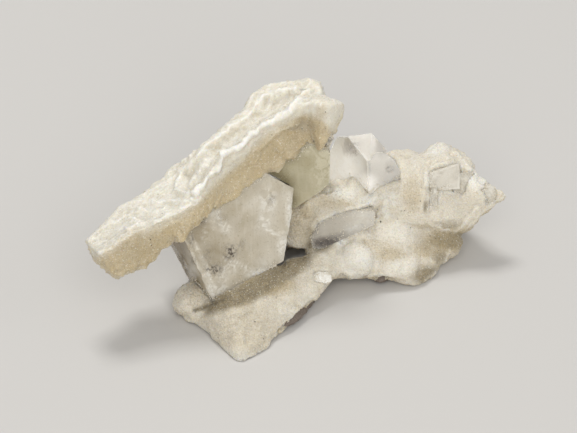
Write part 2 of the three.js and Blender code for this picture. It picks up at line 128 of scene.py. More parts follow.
softbox(
    "top_softbox", direction=(-0.15, 0.35, 0.93), distance=0.9, size=0.25, watts=3.3, colour=(1, 0.99, 0.97)
)
softbox(
    "front_softbox", direction=(0.05, -0.82, 0.57), distance=1.1, size=0.8, watts=6.2, colour=(1, 0.98, 0.95)
)
softbox("side_softbox", direction=(0.95, -0.1, 0.35), distance=1.0, size=0.5, watts=0.8)

# %% Room
world = bpy.data.worlds.new("studio")
world.use_nodes = True
room = world.node_tree.nodes["Background"]
room.inputs["Color"].default_value = (1.0, 0.985, 0.96, 1)
room.inputs["Strength"].default_value = 0.46
bpy.context.scene.world = world
bpy.context.scene.view_settings.view_transform = "Standard"
print(world.name, "room")

# %% [markdown]
# ## The floor
# One big flat sheet under the specimen catches its soft shadow. It stays a hair below the resting face,
# so that the two never flicker through each other. It isn't part of the object.

# %% Floor
FLOOR_HALF = 3.0  # m
FLOOR_DROP = 0.0001  # m
floor_shape = bmesh.new()
bmesh.ops.create_grid(floor_shape, x_segments=1, y_segments=1, size=FLOOR_HALF)
floor_data = bpy.data.meshes.new("floor")
floor_shape.to_mesh(floor_data)
floor_shape.free()
floor = bpy.data.objects.new("floor", floor_data)
bpy.context.scene.collection.objects.link(floor)
floor.location.z = -FLOOR_DROP
print("floor", len(floor_data.polygons), "face")

# %% [markdown]
# ## From a plain solid to grown stone
# Real crust has no flat patches and no seams. It could be sculpted by hand, but then the next change to
# the plain solid would lose the work. Here a voxel remesh turns the solid into an even skin of small
# squares, a smoothing pass melts its facets, and small moves along the normals grow the lumps, pillows
# and folds on it.


# %% Copy a node
CORNER_GAP = 0.002  # corners that are nearer than this become one, mm


def apply_modifiers(piece):
    """Bakes the piece's modifiers into its mesh."""
    graph = bpy.context.evaluated_depsgraph_get()
    mesh = bpy.data.meshes.new_from_object(piece.evaluated_get(graph))
    piece.modifiers.clear()
    piece.data = mesh


def merged_copy(node, name):
    """A copy of a node's mesh with its corners merged."""
    mesh = bpy.data.meshes.new(name)
    shape = bmesh.new()
    shape.from_mesh(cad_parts[node].data)
    bmesh.ops.remove_doubles(shape, verts=shape.verts, dist=CORNER_GAP * MM)
    shape.to_mesh(mesh)
    shape.free()
    piece = bpy.data.objects.new(name, mesh)
    bpy.context.scene.collection.objects.link(piece)
    return piece


def grown_skin(node, name, voxel, smoothing):
    """An even skin of squares `voxel` mm wide over a node, smoothed `smoothing` times."""
    piece = merged_copy(node, name)
    remesh = piece.modifiers.new("skin", "REMESH")
    remesh.mode = "VOXEL"
    remesh.voxel_size = voxel * MM
    smooth = piece.modifiers.new("melt", "SMOOTH")
    smooth.factor = 0.5
    smooth.iterations = smoothing
    apply_modifiers(piece)
    for polygon in piece.data.polygons:
        polygon.use_smooth = True
    print(name, len(piece.data.polygons), "faces")
    return piece


# %% Read and move corners
def points_of(piece):
    """The piece's corners in millimetres."""
    flat = np.empty(len(piece.data.vertices) * 3)
    piece.data.vertices.foreach_get("co", flat)
    return flat.reshape(-1, 3) / MM


def normals_of(piece):
    """The way that the surface faces at each corner."""
    flat = np.empty(len(piece.data.vertices) * 3)
    piece.data.vertices.foreach_get("normal", flat)
    return flat.reshape(-1, 3)


def move(piece, points):
    """Puts the piece's corners at new places in millimetres, never below the ground."""
    above = np.column_stack([points[:, :2], np.maximum(points[:, 2], 0)])
    piece.data.vertices.foreach_set("co", (above * MM).ravel())
    piece.data.update()


def surface_of(piece):
    """The piece's corners in millimetres, the way they face, and their x, h and d on the board."""
    points = points_of(piece)
    return points, normals_of(piece), *on_board(points)


# %% Noise on the stone
def ripple(points, width, seed=0.0):
    """Smooth noise from about -1 to 1, with features about `width` mm wide."""
    scaled = points / width + seed
    return np.array([noise.noise(Vector(p)) for p in scaled])


def pillows(points, width, seed=0.0):
    """Pillows about `width` mm wide with creases between: about 0.5 on top, below 0 in a crease."""
    scaled = points / width + seed
    return 0.5 - np.array([noise.voronoi(Vector(p))[0][0] for p in scaled])


def layered(points, layers, base=0.0):
    """A base height with layers of noise added: each is (kind, height, width, seed), in millimetres."""
    return sum((height * kind(points, width, seed) for kind, height, width, seed in layers), base)


def smoothstep(value, low, high):
    """0 at `low` and 1 at `high`, with soft ends."""
    t = np.clip((value - low) / (high - low), 0, 1)
    return t * t * (3 - 2 * t)


def ridge(gap, width):
    """1 where the gap is 0, falling off to almost nothing at twice the width."""
    return np.exp(-((gap / width) ** 2))


# %% [markdown]
# ## Masks
# Stains, smudges and white rims follow the surface, so they are painted on the piece's corners as
# attributes, and the materials read them. An image texture could do it too, but it needs unwrapping, and
# stone has no seam. The same masks say where the skin rises or sinks, so colour and shape stay together.

# %% Daubs and lines
DAUB_RIM = 1.25  # a daub ends at this many radii from its middle
DAUB_CORE = 0.35  # and has its full strength within this many


def daub(x, h, places):
    """A mask of soft round daubs: each place is (x, h, radius across, radius up, strength)."""
    mask = np.zeros(len(x))
    for px, ph, rx, rh, strength in places:
        reach = np.hypot((x - px) / rx, (h - ph) / rh)
        mask = np.maximum(mask, strength * smoothstep(reach, DAUB_RIM, DAUB_CORE))
    return mask


def gap_to_line(x, h, line):
    """How far board places are from a line of board points."""
    best = np.full(len(x), 1e9)
    for (x0, h0), (x1, h1) in zip(line, line[1:]):
        dx, dh = x1 - x0, h1 - h0
        t = np.clip(((x - x0) * dx + (h - h0) * dh) / (dx**2 + dh**2), 0, 1)
        best = np.minimum(best, np.hypot(x - x0 - t * dx, h - h0 - t * dh))
    return best


def gap_to_lines(x, h, lines):
    """How far board places are from the nearest of several lines."""
    return np.min([gap_to_line(x, h, line) for line in lines], axis=0)


def wavered(points, x, h, amount, width, seeds):
    """Board places shifted to and fro by noise, so that a straight line measured at them comes out wavy."""
    return x + amount * ripple(points, width, seeds[0]), h + amount * ripple(points, width, seeds[1])


def inside(x, h, outline):
    """True where board places are inside a closed outline."""
    within = np.zeros(len(x), bool)
    for (x0, h0), (x1, h1) in zip(outline, outline[1:] + outline[:1]):
        crosses = (h0 > h) != (h1 > h)
        at = x0 + (h - h0) * (x1 - x0) / (h1 - h0 if h1 != h0 else 1e-9)
        within ^= crosses & (x < at)
    return within


def paint(piece, name, values):
    """Keeps a mask on the piece's corners for its material."""
    layer = piece.data.attributes.new(name, "FLOAT", "POINT")
    layer.data.foreach_set("value", np.clip(values, 0, 1).astype(np.float32))


# %% [markdown]
# ## The crystals
# Apophyllite grows as square prisms with flat, glassy faces. Their sharp edges are a little worn, so each
# edge gets a small bevel. The faces are then divided, because they carry low growth steps and painted
# clouds. A remesh would round the corners away, so the crystals keep their own faces.

# %% Softened crystals
FLAT_ANGLE = math.radians(1.5)  # faces that meet at less than this are one face
SHARP_ANGLE = math.radians(8)  # edges that bend by more than this get a bevel
SHARP_EDGES = {}


def softened(node, name, edge, levels):
    """A crystal with its sharp edges rounded by `edge` mm and its faces divided `levels` times."""
    piece = merged_copy(node, name)
    shape = bmesh.new()
    shape.from_mesh(piece.data)
    bmesh.ops.dissolve_limit(shape, angle_limit=FLAT_ANGLE, verts=shape.verts, edges=shape.edges)
    sharp = [e for e in shape.edges if len(e.link_faces) == 2 and e.calc_face_angle() > SHARP_ANGLE]
    SHARP_EDGES[node] = [[np.array(v.co) / MM for v in e.verts] for e in sharp]
    bmesh.ops.bevel(
        shape, geom=sharp, offset=edge * MM, segments=2, profile=0.5, affect="EDGES", material=-1,
        clamp_overlap=True,
    )
    bmesh.ops.recalc_face_normals(shape, faces=shape.faces)
    shape.to_mesh(piece.data)
    shape.free()
    divide = piece.modifiers.new("divide", "SUBSURF")
    divide.subdivision_type = "SIMPLE"
    divide.levels = divide.render_levels = levels
    apply_modifiers(piece)
    print(name, len(piece.data.polygons), "faces")
    return piece


crystals = {
    "large_crystal": softened("large_crystal", "large_milky_crystal", 0.16, 5),
    "rear_crystal": softened("rear_crystal", "rear_greenish_crystal", 0.14, 4),
    "twin_crystals": softened("twin_crystals", "twin_clear_crystals", 0.1, 4),
    "crevice_crystal": softened("crevice_crystal", "crevice_grey_crystal", 0.1, 3),
    "inset_crystals": softened("inset_crystals", "inset_clear_crystals", 0.3, 3),
    "tip_crystal": softened("tip_crystal", "tip_clear_crystal", 0.5, 3),
    "hanging_crystal": softened("hanging_crystal", "hanging_grey_crystal", 0.08, 3),
    "edge_crystal": softened("edge_crystal", "edge_clear_crystal", 0.08, 3),
}

# %% [markdown]
# ## Clouds and smudges in the crystals
# The big crystal is milky with white veils near its edges and a few dark, dusty smudges. Its left end is
# brown and painted darker as shade, on the facet turned from the light. The twins are clear at the top and
# cloudy at the foot, and one facet of the left twin gets a painted dark reflection. On the crevice crystal
# the dark smudge is painted shade of the hollow at its lower left. Thin white streaks are healed cracks.
# All of it is drawn by place on the board.

# %% Smudges, veils, tints and streaks
# Dark dust, and on the crevice crystal painted shade of the hollow at its lower left. Each place is (x, h,
# radius across, radius up, strength).
SMUDGES = {
    "large_crystal": [
        (-14.6, 23.9, 1.7, 2.0, 1), (-18.2, 20.2, 2.4, 1.3, 1), (-21.3, 31.5, 1.6, 1.8, 1),
        (-19.5, 23.5, 1.3, 2.2, 0.45), (-25.6, 21.4, 1.0, 2.4, 1), (-24.6, 19.2, 1.0, 1.4, 1),
        (-22.6, 22.4, 0.8, 1.6, 0.8), (-23, 26.5, 0.8, 2.2, 0.6), (-5.6, 35.4, 1.0, 1.6, 0.5),
        (-16.8, 31.4, 1.4, 2.0, 0.4), (-12, 25.6, 0.8, 1.2, 0.5),
    ],
    "twin_crystals": [(12.4, 46.8, 1.7, 1.6, 0.7), (20.4, 42.2, 1.2, 0.8, 0.6), (21.3, 38.6, 0.8, 1.4, 0.3)],
    "rear_crystal": [(-3, 40, 2.5, 3.5, 0.2), (-2.2, 34.6, 2.5, 1.4, 0.35)],
    "crevice_crystal": [(4.6, 25.4, 2.0, 1.3, 1), (6.6, 26.0, 2.2, 1.3, 1), (8.6, 26.8, 1.6, 1.0, 0.8)],
    "inset_crystals": [
        (31.7, 41, 0.6, 0.8, 0.7), (30.6, 39.4, 0.7, 0.9, 0.5), (34.3, 40.6, 0.5, 0.7, 0.5),
        (35.2, 40.4, 0.5, 0.7, 0.5),
    ],
    "hanging_crystal": [(6.4, 48.8, 0.8, 0.8, 0.8)],
}
# Milky veils, places as above.
VEILS = {
    "large_crystal": [
        (-16.9, 15.7, 2.2, 1.8, 1), (-6.5, 35.2, 2.6, 3.6, 0.7), (-7.4, 30.6, 1.6, 1.6, 1),
        (-3, 25.5, 1.8, 2.6, 0.7), (-9.2, 19.6, 3.2, 1.1, 1), (-18.6, 32.5, 1.6, 2.2, 0.7),
        (-15.6, 29.4, 1.2, 1.8, 0.8), (-1.8, 33, 1.0, 5, 0.7), (-14.8, 20.5, 3.2, 1.4, 0.6),
        (-16.4, 18.4, 1.6, 1.6, 0.7),
    ],
    "twin_crystals": [
        (9.0, 42.5, 5.5, 6, 1), (15, 38.4, 3.4, 3.4, 0.9), (18.5, 37, 4, 2.2, 0.8),
        (14.6, 47.6, 2.2, 3.2, 0.1), (7.4, 45, 1.6, 4, 0.8),
    ],
    "rear_crystal": [(5.8, 42, 2.6, 7, 1), (2, 47, 4.5, 1.8, 0.9), (-5, 37, 2, 1, 0.3)],
    "crevice_crystal": [(14.6, 31.6, 3.4, 1.4, 0.9), (12.4, 29.4, 2.4, 1.0, 0.8)],
    "tip_crystal": [(42.2, 37.4, 3, 3, 0.9)],
    "inset_crystals": [(37.4, 39.4, 2.2, 3.2, 0.9), (30.3, 36.4, 1.2, 2.6, 0.6)],
    "edge_crystal": [(5.6, 18.4, 3, 2, 1)],
}
# Where the crystal takes its darker second colour: brown at the big crystal's left end, there also painted
# darker as shade, and painted shade in the crevice crystal's hollow.
TINTS = {
    "large_crystal": [
        (-26.4, 22, 3.8, 10, 1), (-23, 16.5, 3, 4, 1), (-21.5, 29, 3.4, 4.5, 0.6), (-19, 24, 5, 6, 0.35),
        (-14, 31, 3, 3, 0.2), (-16.5, 17.6, 1.6, 4, 0.25),
    ],
    "rear_crystal": [(-4, 39, 4, 3, 0.9), (-2, 35.6, 3, 2.4, 0.9)],
    "twin_crystals": [(18.8, 47.8, 1.8, 3.2, 0.9), (19.5, 41, 4, 3, 0.2), (14.5, 47.5, 2.6, 3, 0.25)],
    "crevice_crystal": [(6.2, 26, 4.2, 1.7, 1), (10, 27.6, 2, 1.2, 0.5), (4, 29, 1.2, 2, 0.5)],
    "hanging_crystal": [(6.4, 48.8, 2, 2, 0.7)],
}
# Healed cracks, each a line of board places.
STREAKS = {
    "large_crystal": [
        [(-24.8, 28), (-18.4, 14.6)], [(-23.4, 27.4), (-18, 16.4)], [(-22.4, 26.2), (-19.2, 19.6)],
        [(-7.4, 29.4), (-5, 28), (-2, 28.4)], [(-16, 23), (-14, 21.6), (-11, 20.6)],
        [(-17.6, 34.6), (-16.6, 29.8)], [(-20, 31), (-20.4, 27)], [(-27.2, 24.6), (-24, 17.4)],
    ],
    "rear_crystal": [[(-6.8, 42), (-0.6, 46.6)]],
    "twin_crystals": [[(8.2, 44.6), (9, 39.6)]],
}
# The outline of a facet that carries a painted dark reflection all over.
PAINTED_DARK_REFLECTIONS = {"twin_crystals": [(10.7, 49.0), (11.5, 49.4), (13.6, 45.2), (10.4, 45.5), (10.0, 46.9)]}
NOWHERE = []
print("daubs:", sum(len(places) for masks in (SMUDGES, VEILS, TINTS) for places in masks.values()))


# %% Grown faces
def edge_gap(points, edges):
    """How far points are from the nearest of some edges, in millimetres."""
    gap = np.full(len(points), 1e9)
    for a, b in edges:
        run = b - a
        t = np.clip((points - a) @ run / (run @ run), 0, 1)
        gap = np.minimum(gap, np.linalg.norm(points - a - t[:, None] * run, axis=1))
    return gap


def grown_faces(node, chip, swell):
    """Grows low swells and edge chips, at most about `swell` and `chip` mm deep.

    It gives back the corners as they were, the way they faced and how far each is from a sharp edge.
    """
    piece = crystals[node]
    points, normals, _, _, _ = surface_of(piece)
    gap = edge_gap(points, SHARP_EDGES[node])
    at_edge = smoothstep(gap, 1.2, 0.1)
    chips = np.clip(ripple(points, 1.9, 41) - 0.12, 0, 1) * at_edge
    swells = swell * layered(points, [(ripple, 1, 4.0, 43), (ripple, 0.4, 1.5, 45)]) * (1 - 0.6 * at_edge)
    move(piece, points + normals * (swells - chip * chips)[:, None])
    return points, normals, gap


def paint_faces(node, points, normals, gap):
    """Paints a crystal's smudges, veils, tints and worn edges."""
    piece = crystals[node]
    x, h, _ = on_board(points)
    front = smoothstep(normals @ OUT, -0.2, 0.3)
    turned = smoothstep(normals @ OUT, -0.35, -0.05)
    veil = daub(x, h, VEILS.get(node, NOWHERE))
    for streak in STREAKS.get(node, NOWHERE):
        veil = np.maximum(veil, smoothstep(gap_to_line(x, h, streak), 0.5, 0.1))
    wavy_x, wavy_h = wavered(points, x, h, 0.3, 0.9, (49, 55))
    painted_dark_reflection = 0.85 * inside(wavy_x, wavy_h, PAINTED_DARK_REFLECTIONS.get(node, NOWHERE))
    worn = np.clip(ripple(points, 1.5, 47) + 0.45, 0, 1)
    paint(piece, "smudge", front * daub(x, h, SMUDGES.get(node, NOWHERE)))
    paint(piece, "veil", front * veil + 0.4 * (1 - front))
    # The tint mask also holds the painted dark reflection.
    paint(piece, "tint", turned * np.maximum(daub(x, h, TINTS.get(node, NOWHERE)), painted_dark_reflection))
    paint(piece, "edge", smoothstep(gap, 0.35, 0.05) * worn)


CHIP_DEPTHS = {"large_crystal": 0.4, "rear_crystal": 0.25, "twin_crystals": 0.14, "inset_crystals": 0.4}
SWELLS = {
    "large_crystal": 0.1, "twin_crystals": 0.03, "inset_crystals": 0.3, "crevice_crystal": 0.2,
    "tip_crystal": 0.15,
}
OTHER_CHIP = 0.08
OTHER_SWELL = 0.07
for node in crystals:
    paint_faces(node, *grown_faces(node, CHIP_DEPTHS.get(node, OTHER_CHIP), SWELLS.get(node, OTHER_SWELL)))
print("crystals grown:", len(crystals))

# %% [markdown]
# ## Crust that has grown against the crystals
# On the real piece the crust wraps each crystal's foot without a gap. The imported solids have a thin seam
# there, which would show as a dark line. So the crust's corners near a crystal are drawn onto the
# crystal's face and a little way into it.


# %% Crust against crystals
def crystal_tree():
    """All the crystals' faces, to be measured against in millimetres."""
    shape = bmesh.new()
    for node in crystals:
        shape.from_mesh(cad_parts[node].data)
    bmesh.ops.scale(shape, vec=(1 / MM,) * 3, verts=shape.verts)
    tree = BVHTree.FromBMesh(shape)
    shape.free()
    return tree


CRYSTAL_FACES = crystal_tree()


def grown_against(points, facing, reach=0.9, bite=0.14):
    """Draws the corners that face a crystal within reach onto it, and `bite` mm into it.

    Crust that lies over a crystal looks the same way as the crystal's face, and stays outside.
    """
    moved = points.copy()
    for i, point in enumerate(points):
        place, normal, _, gap = CRYSTAL_FACES.find_nearest(Vector(point), reach)
        if place is None:
            continue
        pull = smoothstep(gap, reach, reach * 0.45) * smoothstep(facing[i] @ np.array(normal), 0.75, 0.35)
        moved[i] += (np.array(place - normal * bite) - point) * pull
    return moved


# %% [markdown]
# ## The lower crust
# The plank, the back wall and the right mass are one crust of sugary quartz. It is lumpy at three sizes:
# broad swells, pillows a few millimetres wide, and fine knots. The dome on the plank and the top of the
# mass are smoother, so the growth is calmed there. Where the brown rock shows below, the crust is
# thinner.

# %% Places on the lower crust
# Smoother and knobblier stretches: (x, h, radius across, radius up, strength).
CALM_PLACES = [
    (13, 23.3, 4, 3.4, 0.7), (-23.4, 13.5, 4, 4, 0.3), (33, 38, 12, 9, 0.85), (23, 30, 7, 7, 0.6),
    (8, 35, 6, 3, 0.6), (21, 21, 5, 3, 0.6),
]
ROUGH_PLACES = [
    (34, 26.6, 7, 3.6, 1), (29, 18.6, 4, 2.8, 1), (-8, 16.4, 9, 3, 0.7), (1.5, 31, 4.5, 6.5, 0.8),
    (-21, 12, 4, 3, 0.4),
]
# Low broken edges that run over the right mass and around the crevice.
LEDGES = [
    [(29.7, 29.9), (32.6, 28.9), (35.4, 28.6), (37.6, 30.8), (39.8, 33.7)],
    [(28.6, 38.4), (28.4, 41.2), (30, 43), (33, 43.6), (36.6, 43.2), (39.8, 41)],
    [(29.9, 37.8), (29.3, 35.4), (28.9, 32.6)],
    [(31.6, 37.8), (31.2, 34.4), (29.6, 33.8)],
    [(31.6, 37.8), (34, 37.2), (36.4, 37.6)],
    [(34.8, 46.4), (37.2, 43.8), (39.6, 41.4), (42.6, 39.4), (45.4, 36.8)],
    [(3.6, 29.2), (5.4, 31.4), (11.4, 33.6), (18.3, 35.6)],
    [(33.7, 24.4), (32.6, 21.8), (31.2, 19.6), (28.4, 17.8)],
    [(16.6, 30.6), (18.8, 33.4), (19.4, 35)],
]
# Where the crust meets the rear crystal and the twins.
FOOT_LINES = [
    [(-0.8, 33.6), (6.9, 38.7)],
    [(5, 40.3), (9.7, 40.3), (11.9, 37.6), (15.6, 34.8), (21.1, 38.1)],
]
FOOT_X = (-1, 4, 6.5, 9.5, 12.5, 16, 20)
FOOT_LIFT = (0.4, 0.2, -0.9, -1.7, -1.1, 0.2, 0.4)  # how far it climbs or sinks at each FOOT_X, mm
WHITE_LUMP = (12.9, 22.0, 4.0, 4.2)  # x, h, radius across, radius up
# The dark slot between the left knob and the plank, and a crease below it that real growth has filled.
SLOT = [(-22.4, 11.3), (-19.8, 12.4), (-16.6, 13.6)]
FILLED_CREASE = [(-18.3, 11.6), (-18.0, 5.5)]
# Where the crust is thin over the brown rock.
THIN_PLACES = [(18.5, 17.4, 2.8, 1.4, 1)]
BAR_PLACE = (30.2, 36.4, 1.7, 3.2, 1)  # the small bar crystal, which the crust leaves free
BLUNT_TIP = (45.4, 36.7, 1.6)  # x, h and reach of the right tip
TIP_START = 44.9  # the frame's x where the tip begins to be pushed in, mm
ROCK_EDGE = [(-3.2, 6.2), (3.4, 12.4)]
print("ledges:", len(LEDGES))

# %% Lower crust's relief
BROAD_SWELLS = [(ripple, 0.45, 5.0, 0)]
KNOTS = [(ripple, 0.22, 1.5, 3), (pillows, 0.18, 1.2, 5)]
GRIT = [(ripple, 0.06, 0.65, 11)]
BACK_LUMPS = [(pillows, 0.5, 2.2, 15), (pillows, 0.2, 1.1, 17)]
ROUGH_KNOTS = [(pillows, 0.3, 1.0, 9), (ripple, 0.12, 0.8, 19)]
lower = grown_skin("quartz_matrix", "drusy_lower_crust", voxel=0.32, smoothing=7)
points, normals, x, h, _ = surface_of(lower)
front = smoothstep(normals @ OUT, -0.2, 0.3)
back = 1 - front
calm = 1 - front * daub(x, h, CALM_PLACES)
rough = front * daub(x, h, ROUGH_PLACES)
pillow_height = 0.1 + 0.35 * calm + 0.3 * back
growth = layered(points, BROAD_SWELLS, 0.05) + pillow_height * pillows(points, 3.4, 7)
growth += calm * layered(points, KNOTS) + layered(points, GRIT)
growth += back * layered(points, BACK_LUMPS)
growth += rough * layered(points, ROUGH_KNOTS)
print("relief from", growth.min().round(2), "to", growth.max().round(2), "mm")

# %% [markdown]
# ## Ledges, slot and lump
# A few forms of the lower crust have a place of their own: broken ledges with a groove beside them, the
# slot by the left knob, the white lump on the plank, and the thin crust over the rock. A line or an oval
# on the board says where each is. Most of the lines are measured at wavered places, because nothing here
# is straight.

# %% Ledges, slot and lump
LEDGE_WIDTH = 0.34
LEDGE_HEIGHT = 0.3
GROOVE_DEPTH = 0.2
GROOVE_GAP = 0.85  # from the ledge to the groove beside it
wavy_x, wavy_h = wavered(points, x, h, 0.35, 1.6, (51, 57))
to_ledge = gap_to_lines(wavy_x, wavy_h, LEDGES)
ledges = front * ridge(to_ledge, LEDGE_WIDTH) * (0.7 + 0.6 * ripple(points, 1.4, 13))
growth += LEDGE_HEIGHT * ledges - GROOVE_DEPTH * front * ridge(to_ledge - GROOVE_GAP, 0.35)
in_slot = front * ridge(gap_to_line(wavy_x, wavy_h, SLOT), 0.4)
growth += 0.6 * front * ridge(gap_to_line(x, h, FILLED_CREASE), 1.0) - 0.7 * in_slot
from_lump = np.hypot((wavy_x - WHITE_LUMP[0]) / WHITE_LUMP[2], (wavy_h - WHITE_LUMP[1]) / WHITE_LUMP[3])
lump = 0.9 * np.sqrt(np.clip(1 - from_lump**2, 0, 1))
growth += front * (lump - 0.35 * ridge(from_lump - 1.06, 0.12))
bare = np.maximum(daub(x, h, THIN_PLACES), smoothstep(gap_to_line(x, h, ROCK_EDGE), 1.2, 0.6))
growth -= 1.1 * bare * front + 0.45 * front * daub(x, h, [BAR_PLACE])
from_tip = np.hypot(x - BLUNT_TIP[0], h - BLUNT_TIP[1])
growth += 0.3 * ridge(from_tip, BLUNT_TIP[2])
print("growth from", growth.min().round(2), "to", growth.max().round(2), "mm")

# %% [markdown]
# ## The border at the crystals' feet
# The crust ends at the rear crystal and the twins in a ragged line, which climbs in places and sinks in
# front of the left twin. So its corners there are slid up or down the board, which moves the border
# itself. Growth along the normals would only make the crust thicker. The right tip is pushed in a little,
# because it is worn.

# %% Feet and tip
FOOT_REACH = 1.7  # how wide the moved border is, mm
to_foot = gap_to_lines(wavy_x, wavy_h, FOOT_LINES)
foot_lift = np.interp(x, FOOT_X, FOOT_LIFT) + 0.9 * ripple(points, 1.8, 65) + 0.4 * ripple(points, 0.8, 69)
climb = (front * ridge(to_foot, FOOT_REACH) * foot_lift)[:, None] * UP
grown = grown_against(points + normals * growth[:, None], normals) + climb
past_tip = np.maximum(grown[:, 0] - TIP_START, 0)
grown[:, 0] -= 0.6 * past_tip**2 / (past_tip + 1.0)
move(lower, grown)
print("tip now ends at x", grown[:, 0].max().round(2), "mm")

# %% [markdown]
# ## Stains on the lower crust
# Iron stains some hollows tan, dust greys them, and the freshest growth is white. The same masks carry
# painted light: tan and grey are also painted shade on undersides, in creases, in the recess under the
# mass, in the crevice and the slot, and as the big crystal's painted shadow on the plank. White is also a
# painted highlight on the ledges and the left knob. Each is a mask with named places, broken up by a
# noise of blotches. The back has no named places, so noise alone stains it.

# %% Lower crust's stains
# Tan: iron stain, and painted shade on the plank under the big crystal and in the recess under the mass.
TAN_PLACES = [
    (-8, 16.8, 9, 3, 1), (-13, 14, 5, 2.6, 0.8), (-21.5, 13.8, 4.5, 3, 0.6), (1.5, 31, 4.5, 6.5, 0.5),
    (8, 35.4, 7, 2.6, 0.45), (34, 26.6, 7, 3.6, 1), (30, 24.5, 5, 2.6, 0.7), (25.5, 36.6, 2.6, 5, 0.5),
    (2, 32.6, 2, 2, 0.7), (33, 22, 4, 3, 0.5), (-3.5, 20.2, 6, 1.6, 0.7), (20.5, 23.4, 4, 2, 0.6),
    (28.6, 18.6, 3, 2, 0.7), (-11, 7, 9, 9, 0.28), (18, 25.6, 6, 2, 0.4),
]
# Grey: dust, and painted shade in the crevice hollow and in the recess under the mass.
GREY_PLACES = [
    (4.6, 25.3, 3.6, 1.8, 1), (28.5, 19, 4.2, 2.6, 0.8), (32, 22, 2, 3, 0.5), (3, 28, 1.4, 2.4, 0.35),
    (28.6, 34, 0.8, 1.6, 0.8), (34.5, 26.6, 5, 2.4, 0.7), (-11, 7, 9, 7, 0.1), (34, 30, 3, 1.5, 0.3),
]
# Painted shadow that the big crystal casts on the plank, darkest along this line.
SHADED_LINE = [(-18.6, 12.4), (-10.3, 15.4), (-1.5, 20.3), (1.1, 22.6)]
# White: fresh growth and the white lump. The last place is painted light on the left knob, which lies in
# shade.
WHITE_PLACES = [
    (12.9, 22.2, 4.6, 4.6, 0.9), (23, 20.5, 4, 2.2, 0.6), (40, 40, 3.4, 2.4, 0.8), (31, 47, 3, 2, 0.8),
    (10, 25.8, 1.6, 1.2, 0.8), (19.8, 32.8, 0.9, 1.6, 0.9), (22, 28, 5, 3, 0.5), (-14, 1.5, 4, 2, 0.5),
    (10.4, 37.8, 4.2, 2.6, 0.9), (15.6, 35.2, 4, 1.6, 0.8), (20.6, 35.6, 2.4, 1.8, 0.6),
    (-22.6, 13.6, 4, 3.2, 0.4),
]
# Undersides and creases get tan as painted shade.
under = smoothstep(normals[:, 2], 0.1, -0.7)
mottle = 0.5 + 0.5 * ripple(points, 2.6, 21)
crease = smoothstep(pillows(points, 3.4, 7), 0.1, -0.25) * calm
tan = np.maximum(front * daub(x, h, TAN_PLACES), 0.6 * under) * (0.85 + 0.25 * mottle)
back_stains = back * smoothstep(ripple(points, 5.0, 25), 0.0, 0.5)
shaded = smoothstep(gap_to_line(x, h, SHADED_LINE), 3.2, 1.0)
grey = front * np.maximum(daub(x, h, GREY_PLACES), shaded) * (0.8 + 0.4 * mottle)
back_whites = 0.6 * back * smoothstep(ripple(points, 4.0, 27), 0.1, 0.5)
whites = front * daub(x, h, WHITE_PLACES) * (0.7 + 0.5 * mottle) * (1 - in_slot)
# Tan also holds painted shade, grey the painted shade in the slot, and white the painted highlight on the
# ledges.
paint(lower, "tan", np.maximum(tan, np.maximum(0.2 * crease, 0.55 * back_stains)))
paint(lower, "grey", np.maximum(grey, in_slot))
paint(lower, "white", np.maximum(whites, np.maximum(0.5 * ledges, back_whites)))
print("stained corners:", int((tan > 0.2).sum()), "of", len(tan))

# %% [markdown]
# ## The upper crust
# The slab over the crystals is a folded sheet of the same quartz. Along its top runs a shallow trough
# between two thin, crimped white rims, with smaller folds in and around it. They could be modelled as
# separate strips, but on the real slab they are one skin. So each one is a line on the board, made wavy
# by noise, that lifts the skin.

# %% Rims and folds
FRONT_RIM = [
    (-22.4, 36.5), (-19.6, 39.8), (-16.9, 43.1), (-16.3, 44.9), (-12.5, 46.9), (-10.8, 49.1), (-7.5, 51.5),
    (-4.4, 53), (-1.5, 54.8), (0.2, 57), (2.4, 59.6),
]
REAR_RIM = [
    (-26.2, 38.3), (-25.7, 41.4), (-24.2, 42.5), (-22, 44.2), (-19.8, 47.1), (-16.9, 49.3), (-14.1, 51.5),
    (-11, 53.5), (-8.8, 55.9), (-7.5, 57.9), (-3.7, 59.2), (-0.4, 59.9),
]
SMALL_FOLDS = [
    [(-31.2, 34.8), (-27.3, 35), (-22, 35.4)],
    [(-29.5, 32.8), (-25.7, 33.2), (-22, 34.8), (-21.3, 35.9)],
    [(-26.4, 37.6), (-24.2, 36.7), (-22, 36.5)],
    [(-36.7, 31.5), (-33.9, 30.6), (-36.7, 28.8)],
    [(-7.5, 53), (-4.4, 54.1), (-2.6, 55.2), (-0.4, 56.3), (1.3, 59)],
    [(-31, 30.8), (-27.9, 32.1), (-24.2, 33.7)],
    [(-34.6, 33.4), (-31.4, 32.6), (-28.6, 33.6)],
    [(-9.7, 43.6), (-8.6, 46.4), (-6.2, 48.8), (-3.4, 50.8), (0.4, 52)],
    [(-23.6, 39.2), (-21.2, 42.6), (-18.4, 45.4)],
]
BROWS = [[(-25.3, 28.4), (-7.5, 41.6), (-3.5, 43.4)], [(-2.6, 46.6), (2.4, 47.2), (6.2, 48.6)]]
RAGGED_PLACES = [(-35, 19.5, 6, 3.2, 1), (-44, 22, 3, 3, 0.5)]
print("folds:", 2 + len(SMALL_FOLDS))

